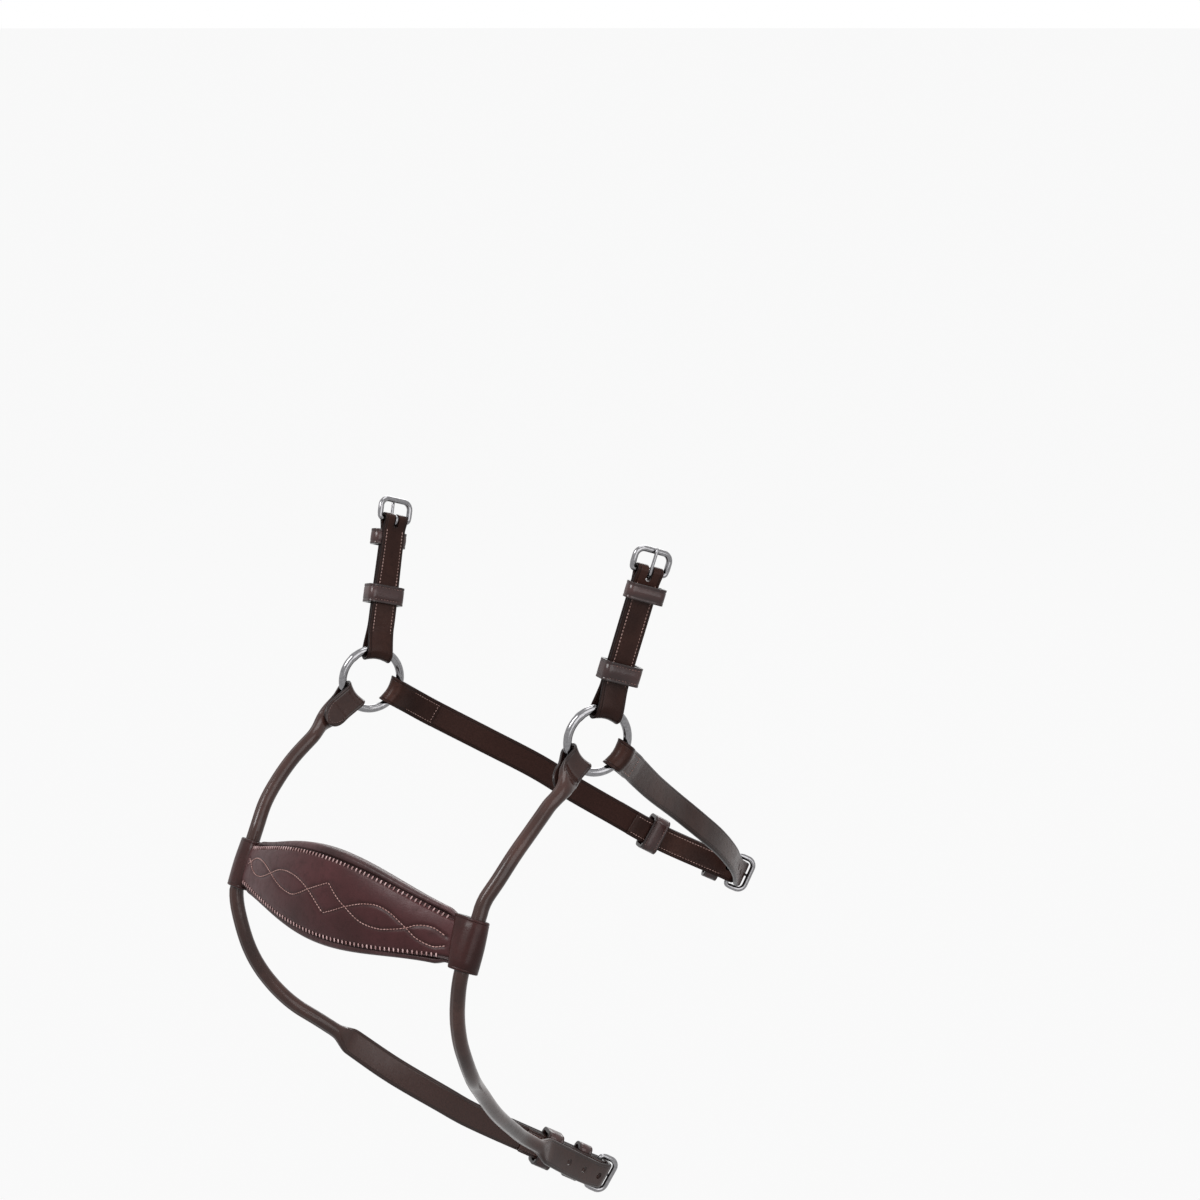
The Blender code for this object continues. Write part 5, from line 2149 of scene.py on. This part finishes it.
@dataclass
class Nosepiece:
    """Stitched front band, the pad behind it and a cuff at each end."""

    tools: Tools
    half_length: float = 0.0780
    forward: float = 0.1043
    drop: float = 0.0733
    bow: float = 0.0150
    end_sink: float = 0.0058
    lean: float = radians(12.7)
    front_height: float = 0.0394
    front_end_height: float = 0.0194
    front_thickness: float = 0.0024
    crown: float = 0.0026
    pad_height: float = 0.0470
    pad_end_height: float = 0.0262
    pad_thickness: float = 0.0092
    pad_end_thickness: float = 0.0062
    layer_gap: float = 0.0004
    seam_inset: float = 0.0011
    stitch_pitch: float = 0.0026
    fancy_pitch: float = 0.0018
    border_end: float = 0.955
    cuff_height: float = 0.0250
    cuff_wall: float = 0.0016
    cuff_clearance: float = 0.0005
    cuff_thickness: float = 0.0096
    cuff_room: float = 0.0026
    necks: dict = field(default_factory=lambda: {Side.LEFT: (0.0082, 0.0030),
                                                 Side.RIGHT: (0.0092, 0.0)})
    far_end: float = 1.03
    seam_dip: float = 0.00045
    seam_reach: float = 0.0007
    seam_shade: float = 0.0006
    strand_dip: float = 0.00040
    strand_reach: float = 0.0010
    rim_reach: float = 0.0005
    border_slant: float = 0.35
    border_lift: float = 0.00005
    fancy_sink: float = 0.00022
    slope_step: float = 0.01
    cuff_skin: float = 0.0006
    cuff_crease: float = 0.885
    cuff_edge: float = 0.965
    # Each strand of the fancy stitching in two halves that meet in a sharp corner, as
    # (share of the half length, height over the middle line)
    strand_knots: tuple = (
        ((-0.960, 0.0004), (-0.913, 0.0021), (-0.860, 0.0043), (-0.805, 0.0054),
         (-0.730, 0.0053), (-0.647, 0.0042), (-0.550, 0.0017), (-0.460, -0.0010),
         (-0.378, -0.0029), (-0.254, -0.0038), (-0.190, -0.0022), (-0.097, 0.0014),
         (0.080, 0.0079)),
        ((0.080, 0.0079), (0.169, 0.0026), (0.255, -0.0010), (0.378, -0.0052),
         (0.515, -0.0058), (0.610, -0.0040), (0.700, -0.0014), (0.764, 0.0012),
         (0.861, 0.0024), (0.960, 0.0002)),
        ((-0.960, 0.0034), (-0.913, 0.0021), (-0.850, -0.0008), (-0.760, -0.0026),
         (-0.665, -0.0018), (-0.550, 0.0017), (-0.470, 0.0044), (-0.381, 0.0058),
         (-0.280, 0.0057), (-0.194, 0.0044), (-0.097, 0.0014), (0.070, -0.0071)),
        ((0.070, -0.0071), (0.160, -0.0040), (0.238, -0.0009), (0.383, 0.0035),
         (0.483, 0.0046), (0.575, 0.0032), (0.653, 0.0004), (0.700, -0.0014),
         (0.785, -0.0048), (0.899, -0.0060), (0.960, -0.0044)),
    )

    def middle(self, share: float) -> Vector:
        """Point of the front's middle line, from -1 right to 1 left.

        Args:
            share: Share of the half length.

        Returns:
            The point.
        """
        swing = 1 - cos(pi / 2 * share)
        return RINGS.line + Vector((self.half_length * share,
                                    self.bow * swing - self.forward,
                                    -self.drop - self.end_sink * swing))

    def frame(self, share: float) -> tuple[Vector, Vector, Vector]:
        """Point, up and forward directions of the front.

        Args:
            share: Share of the half length.

        Returns:
            The three.
        """
        step = self.slope_step
        along = (self.middle(share + step) - self.middle(share - step)).normalized()
        lean = mix(self.lean, CUFFS.lean, share * share)
        up = square_to(Vector((0.0, sin(lean), cos(lean))), along)
        return self.middle(share), up, along.cross(up)

    @staticmethod
    def swell(middle: float, end: float, share: float, power: float = 1.6) -> float:
        """Height of a layer, full in the middle and drawn in towards the cuffs."""
        return mix(end, middle, abs(cos(pi / 2 * share)) ** power)

    def half_front(self, share: float) -> float:
        """Half height of the front band."""
        return self.swell(self.front_height, self.front_end_height, share, 1.25) / 2

    def proud(self, share: float, rise: float) -> float:
        """How far the front stands forward of its middle line's plane at a share of its height."""
        return self.crown * (1 - share ** 4 * 0.85) * (1 - min(abs(rise), 1.0) ** 2.4)

    def spot(self, share: float, rise: float, lift: float = 0.0) -> Vector:
        """Point on the front at shares of its length and height.

        Args:
            share: Share of the half length.
            rise: Share of the half height.
            lift: Distance in front of the leather.

        Returns:
            The point.
        """
        point, up, forward = self.frame(share)
        return (point + up * (self.half_front(share) * rise)
                + forward * (self.proud(share, rise) + lift))

    def strands(self) -> list[list[tuple[float, float]]]:
        """Halves of both strands of the fancy stitching as dense (share, rise) points.

        Returns:
            The points of each half.
        """
        lines = []
        for knots in self.strand_knots:
            curve = smooth_points([Vector((share * self.half_length, height))
                                   for share, height in knots], 0.0006)
            line = []
            for along, height in curve:
                share = along / self.half_length
                line.append((share, height / self.half_front(share)))
            lines.append(line)
        return lines

    def build_front(self) -> None:
        """Front band, crowned, with its borders and strands pulled in by their thread and painted
        shade in those dips.
        """
        spread = np.linspace(-1, 1, 65)
        rises = [float(rise) for rise in np.sign(spread) * np.abs(spread) ** 0.9]
        strands = [np.array(line) for line in self.strands()]
        loops, rims = [], []
        for share in map(float, np.linspace(-1.0, self.far_end, 241)):
            point, up, forward = self.frame(share)
            half = self.half_front(share)
            seam_rise = 1 - self.seam_inset / half
            loop = []
            for rise in rises:
                to_seam = (abs(rise) - seam_rise) * half
                near = 1.0
                for line in strands:
                    gap = np.hypot((line[:, 0] - share) * self.half_length,
                                   (line[:, 1] - rise) * half)
                    near = min(near, float(gap.min()))
                pull = exp(-(near / self.strand_reach) ** 2)
                dip = self.seam_dip * exp(-(to_seam / self.seam_reach) ** 2)
                lift = self.proud(share, rise) - dip - self.strand_dip * pull
                loop.append(point + up * (half * rise) + forward * lift)
                rim = max(0.0, 1 - abs(abs(rise) - 1) * half / self.rim_reach)
                # Painted shade: the rim colour also darkens the border seam's dip and the dips
                # pulled in beside the strands, on top of the burnished edge.
                seam = exp(-(to_seam / self.seam_shade) ** 2)
                rims.append(min(1.0, max(rim, 0.55 * pull, 0.75 * seam)))
            for rise, depth in ((1.012, 0.35), (1.012, 0.75), (0.99, 1.0), (-0.99, 1.0),
                                (-1.012, 0.75), (-1.012, 0.35)):
                loop.append(point + up * (half * rise) - forward * (self.front_thickness * depth))
                rims.append(1.0)
            loops.append(loop)
        piece = skin("nose_front_leather", loops, Ends.PLATE, rims)
        smooth(piece, 60.0)
        self.tools.shop.dress(piece, self.tools.shop.wardrobe.front, Slot.NOSE, "nose_front")

    def pad_outline(self) -> list[tuple[float, float]]:
        """Closed outline of the pad as (share of half height, share of depth).

        Returns:
            The outline.
        """
        upper = [(0.60, 0.00), (0.785, 0.02), (0.86, 0.17), (0.94, 0.16), (0.995, 0.00),
                 (1.00, -0.25), (0.985, -0.52), (0.93, -0.76), (0.80, -0.92), (0.55, -1.0),
                 (0.20, -0.99)]
        lower = [(-rise, deep) for rise, deep in reversed(upper)]
        corners = lower[-1:] + [(0.0, 0.0)] + upper + [(0.0, -0.95)] + lower[:-1]
        knots = [Vector(corner) for corner in corners]
        dense = smooth_points(knots[-3:] + knots + knots[:3], 0.055)
        middle = len(dense) // 2

        def away(index: int) -> float:
            """Distance of a point from the outline's start."""
            return (dense[index] - knots[0]).length

        start, end = min(range(middle), key=away), min(range(middle, len(dense)), key=away)
        return [(p[0], p[1]) for p in dense[start:end]]

    def build_pad(self) -> None:
        """Padded backing, fuller than the front, with a rolled rim and soft puckers."""
        outline = self.pad_outline()
        columns = 150
        loops, rims = [], []
        for i in range(columns + 1):
            share = mix(-1.0, self.far_end, i / columns)
            point, up, forward = self.frame(share)
            end = min(1 + share, self.far_end - share)
            closing = max(sqrt(min(max(end / 0.02, 0.0), 1.0)), 0.55)
            half = self.swell(self.pad_height, self.pad_end_height, share) / 2
            half *= 1 - 0.13 * ease((abs(share) - 0.90) / 0.08)
            depth = mix(self.pad_thickness, self.pad_end_thickness, share * share)
            back = point - forward * (self.front_thickness + self.layer_gap * 0.5)
            pucker = 1 + 0.035 * sin(share * 130.0) * (1 - share * share)
            loop = []
            for rise, deep in outline:
                swollen = deep * depth * (pucker if deep > 0.03 else 1.0)
                loop.append(back + up * (half * rise * mix(0.86, 1.0, closing))
                            + forward * (swollen if deep > -0.1 else swollen * closing))
                rims.append(0.8 * max(0.0, 1 - abs(abs(rise) - 0.80) / 0.03)
                            if deep > -0.05 else 0.0)
            loops.append(loop)
        piece = skin("nose_pad_leather", loops, Ends.PLATE, rims)
        smooth(piece, 60.0)
        self.tools.shop.dress(piece, self.tools.shop.wardrobe.padding, Slot.PADDING, "nose_pad")

    def border(self) -> Places:
        """Slanted border stitches near both long edges of the front.

        Returns:
            The places of the stitches.
        """
        places = []
        for edge in (-1, 1):
            share = -self.border_end
            while share < self.border_end:
                _, up, forward = self.frame(share)
                rise = edge * (1 - self.seam_inset / self.half_front(share))
                step = (self.spot(share + self.slope_step, rise)
                        - self.spot(share - self.slope_step, rise))
                slant = (step.normalized() * self.border_slant + up * edge).normalized()
                places.append((self.spot(share, rise, self.border_lift), slant, forward))
                share += self.stitch_pitch / 2 / (step.length / (2 * self.slope_step))
        return places[::2]

    def fancy(self) -> Places:
        """Fine stitches along both strands.

        Returns:
            The places of the stitches.
        """
        places = []
        for line in self.strands():
            points = [self.spot(share, rise) for share, rise in line]
            due, travelled = self.fancy_pitch / 2, 0.0
            for before, after, start, end in zip(line, line[1:], points, points[1:]):
                length = (end - start).length
                while due <= travelled + length:
                    part = (due - travelled) / length
                    share, rise = (mix(low, high, part) for low, high in zip(before, after))
                    places.append((self.spot(share, rise, -self.fancy_sink), end - start,
                                   self.frame(share)[2]))
                    due += self.fancy_pitch
                travelled += length
        return places

    def cuff_reach(self, angle: float, neck: float, front: float, back: float) -> float:
        """Distance from the roll's axis to the cuff's outside.

        Args:
            angle: Angle round the axis, 0 away from the nosepiece.
            neck: How far the cuff reaches over the nosepiece's end.
            front: How far it reaches forward.
            back: How far it reaches back.

        Returns:
            The distance.
        """
        wall = self.cuff_bore + self.cuff_wall
        inward = -cos(angle)
        if inward <= 0:
            return wall
        limit = front if sin(angle) > 0 else back
        height = abs(sin(angle))
        flat = limit / height if height * neck > limit * inward else neck / inward
        return max(flat, wall) if inward < 0.2 else flat

    @property
    def cuff_bore(self) -> float:
        """Radius of the cuff's inside."""
        return CUFFS.roll / 2 + self.cuff_clearance

    def build_cuff(self, side: Side) -> None:
        """Sleeve round the rolled strap, drawn over the end of the front and the pad.

        Args:
            side: Side of the cuff.
        """
        forward = Vector((0.0, -cos(CUFFS.lean), sin(CUFFS.lean)))
        aside = LEFT * side.value
        neck, slant = self.necks[side]
        front = self.cuff_bore + self.cuff_wall
        back = self.cuff_thickness - front
        count = 72
        angles = [2 * pi * (k + 0.5) / count for k in range(count)]
        outside = []
        for angle in angles:
            reach = self.cuff_reach(angle, neck, front + self.cuff_skin,
                                    back + self.cuff_skin / 2)
            outside.append(Vector((reach * cos(angle), reach * sin(angle))))
        for _ in range(7):
            outside = [(outside[k - 1] + outside[k] * 2 + outside[(k + 1) % count]) / 4
                       for k in range(count)]
        upper = [(0.3, 0.00095), (0.6, 0.0008), (0.87, 0.00065), (self.cuff_crease, 0.0005),
                 (0.90, 0.00065), (self.cuff_edge, 0.0006), (0.99, 0.0003), (1.0, 0.0)]
        lower = [(-level, swell) for level, swell in reversed(upper)]
        rise = CUFFS.axis * (self.cuff_height / 2)
        loops, rims = [], []
        for level, swell in lower + [(0.0, 0.001)] + upper:
            middle = CUFFS.centre(side) + rise * level
            loop = []
            for spot in outside:
                grown = spot * (1 + (swell - self.cuff_skin) / spot.length)
                grown[0] -= slant * level * ease(-spot[0] / neck)
                grown[1] -= self.cuff_room * (1 - level) / 2 * ease((front - spot[1])
                                                                    / (front + back))
                loop.append(middle + aside * grown[0] + forward * grown[1])
                pressed = abs(abs(level) - self.cuff_crease) < 0.01
                rims.append(0.75 if pressed else
                            max(0.0, (abs(level) - self.cuff_edge) / (1 - self.cuff_edge)))
            loops.append(loop)
        for level in (1.0, 0.5, 0.0, -0.5, -1.0):
            middle = CUFFS.centre(side) + rise * (level * 0.985)
            loops.append([middle + aside * (self.cuff_bore * cos(angle))
                          + forward * (self.cuff_bore * sin(angle)) for angle in angles])
            rims += [1.0] * count
        node = f"cuff_{side.label}"
        piece = skin(f"{node}_leather", loops, Ends.JOINED, rims)
        smooth(piece, 55.0)
        self.tools.shop.dress(piece, self.tools.shop.wardrobe.cuff, Slot.NOSE, node)

    def build(self) -> None:
        """Build the pad, the front, its threads and both cuffs."""
        wardrobe, stitches = self.tools.shop.wardrobe, self.tools.stitches
        self.build_pad()
        self.build_front()
        for side in Side:
            self.build_cuff(side)
        for name, places, thread in (("nose_border", self.border(), wardrobe.border_thread),
                                     ("nose_fancy", self.fancy(), wardrobe.fancy_thread)):
            stitches.lay(name, places, thread, "nose_front", Slot.NOSE)


WHITE = (1.0, 1.0, 1.0, 1.0)


class Lamp(NamedTuple):
    """Soft square lamp that looks at the middle of the noseband."""

    name: str
    place: tuple
    size: float
    power: float


@dataclass(frozen=True)
class Studio:
    """Camera, lamps, white surroundings and the pale floor."""

    eye: tuple = (0.9397, -0.8794, 0.2591)
    turn: float = radians(45.0)
    pitch: float = radians(12.6)
    lens: float = 78.48
    sky: tuple = (0.96, 0.98, 1.0, 1.0)
    sky_strength: float = 0.32
    floor_drop: float = 0.130
    floor_radius: float = 160.0
    floor_colour: tuple = (0.14, 0.14, 0.14, 1.0)
    floor_white: float = 0.94
    lamps: tuple = (
        Lamp("key_lamp", (-0.4, -1.9, 1.5), 1.0, 38.0),
        Lamp("fill_lamp", (2.0, -0.5, 0.6), 1.9, 24.0),
        Lamp("top_lamp", (0.1, 0.4, 2.2), 1.4, 22.0),
        Lamp("back_lamp", (-1.3, 1.5, 0.9), 1.3, 24.0),
    )

    def camera(self) -> None:
        """Camera at the photograph's angle."""
        data = bpy.data.cameras.new("photograph_camera")
        data.lens = self.lens
        data.sensor_width = 36.0
        data.clip_start = 0.01
        data.clip_end = 400.0
        right = Vector((cos(self.turn), sin(self.turn), 0.0))
        back = Vector((sin(self.turn) * cos(self.pitch), -cos(self.turn) * cos(self.pitch),
                       sin(self.pitch)))
        camera = placed("photograph_camera", data)
        camera.matrix_world = axes(back.cross(right), right, back, Vector(self.eye))
        bpy.context.scene.camera = camera

    @staticmethod
    def seen(nodes: Nodes) -> Output:
        """Output that is 1 where the backdrop is seen, also in metal and through glass.

        Args:
            nodes: The nodes to add to.

        Returns:
            The output.
        """
        path = nodes.tree.nodes.new("ShaderNodeLightPath").outputs
        straight = nodes.add("Math", {0: path["Is Camera Ray"], 1: path["Is Transmission Ray"]},
                             operation="MAXIMUM")
        return nodes.add("Math", {0: path["Is Glossy Ray"], 1: straight}, operation="MAXIMUM")

    @staticmethod
    def show(nodes: Nodes, share: Output, lit: Output, shown: Output, out: str) -> None:
        """Mix what is shown over what lights the object, into the tree's output.

        Args:
            nodes: The nodes to add to.
            share: Share of what is shown.
            lit: What lights the object.
            shown: What is shown.
            out: Type of the output node.
        """
        both = nodes.add("MixShader", {"Fac": share, 1: lit, 2: shown})
        nodes.fill(nodes.tree.nodes.new(out), {"Surface": both})

    def surroundings(self) -> None:
        """White world that lights the object at a plain level."""
        world = bpy.data.worlds.new("white_surroundings")
        bpy.context.scene.world = world
        nodes = Nodes(world)
        nodes.tree.nodes.clear()
        lit = nodes.add("Background", {"Color": self.sky, "Strength": self.sky_strength})
        shown = nodes.add("Background", {"Color": WHITE, "Strength": 1.0})
        self.show(nodes, self.seen(nodes), lit, shown, "ShaderNodeOutputWorld")

    def floor(self) -> None:
        """Pale floor under the noseband, which keeps its shadow."""
        bpy.ops.mesh.primitive_circle_add(vertices=96, radius=self.floor_radius,
                                          fill_type="NGON",
                                          location=(0.0, 0.0, CAD_BOX[0][2] - self.floor_drop))
        piece = bpy.context.object
        piece.name = "studio_floor"
        settle(piece)
        made = bpy.data.materials.new("pale_floor")
        nodes = Nodes(made)
        nodes.tree.nodes.clear()
        matt = nodes.add("BsdfDiffuse", {"Color": self.floor_colour})
        white = nodes.add("Emission", {"Color": WHITE, "Strength": 1.0})
        share = nodes.add("Math", {0: self.seen(nodes), 1: self.floor_white},
                          operation="MULTIPLY")
        self.show(nodes, share, matt, white, "ShaderNodeOutputMaterial")
        piece.data.materials.append(made)

    def lights(self) -> None:
        """Lamps round the noseband."""
        target = (CAD_BOX[0] + CAD_BOX[1]) / 2
        for lamp in self.lamps:
            data = bpy.data.lights.new(lamp.name, "AREA")
            data.shape = "SQUARE"
            data.size = lamp.size
            data.energy = lamp.power
            light = placed(lamp.name, data)
            light.location = lamp.place
            light.rotation_mode = "QUATERNION"
            light.rotation_quaternion = (target - light.location).to_track_quat("-Z", "Y")

    def build(self) -> None:
        """Set up the whole studio."""
        bpy.context.scene.view_settings.view_transform = "Standard"
        self.camera()
        self.surroundings()
        self.floor()
        self.lights()


def keep_sizes() -> None:
    """Does nothing; no sizes are written.
    """
    LOG.info("sizes kept")


def main() -> None:
    """Build the noseband's looks in order."""
    logging.basicConfig(level=logging.INFO, format="%(message)s")
    shop = Workshop()
    stitches = Stitches(shop)
    tools = Tools(shop, stitches, Keepers(shop, stitches), Buckles(shop))
    Studio().build()
    Rings(shop).build()
    Hanger(tools, Side.LEFT, radians(22.0), 0.0500).build()
    Hanger(tools, Side.RIGHT, radians(4.0), 0.0400).build()
    RolledStraps(tools).build()
    JawStrap(tools).build()
    Nosepiece(tools).build()
    keep_sizes()


if __name__ == "__main__":
    main()
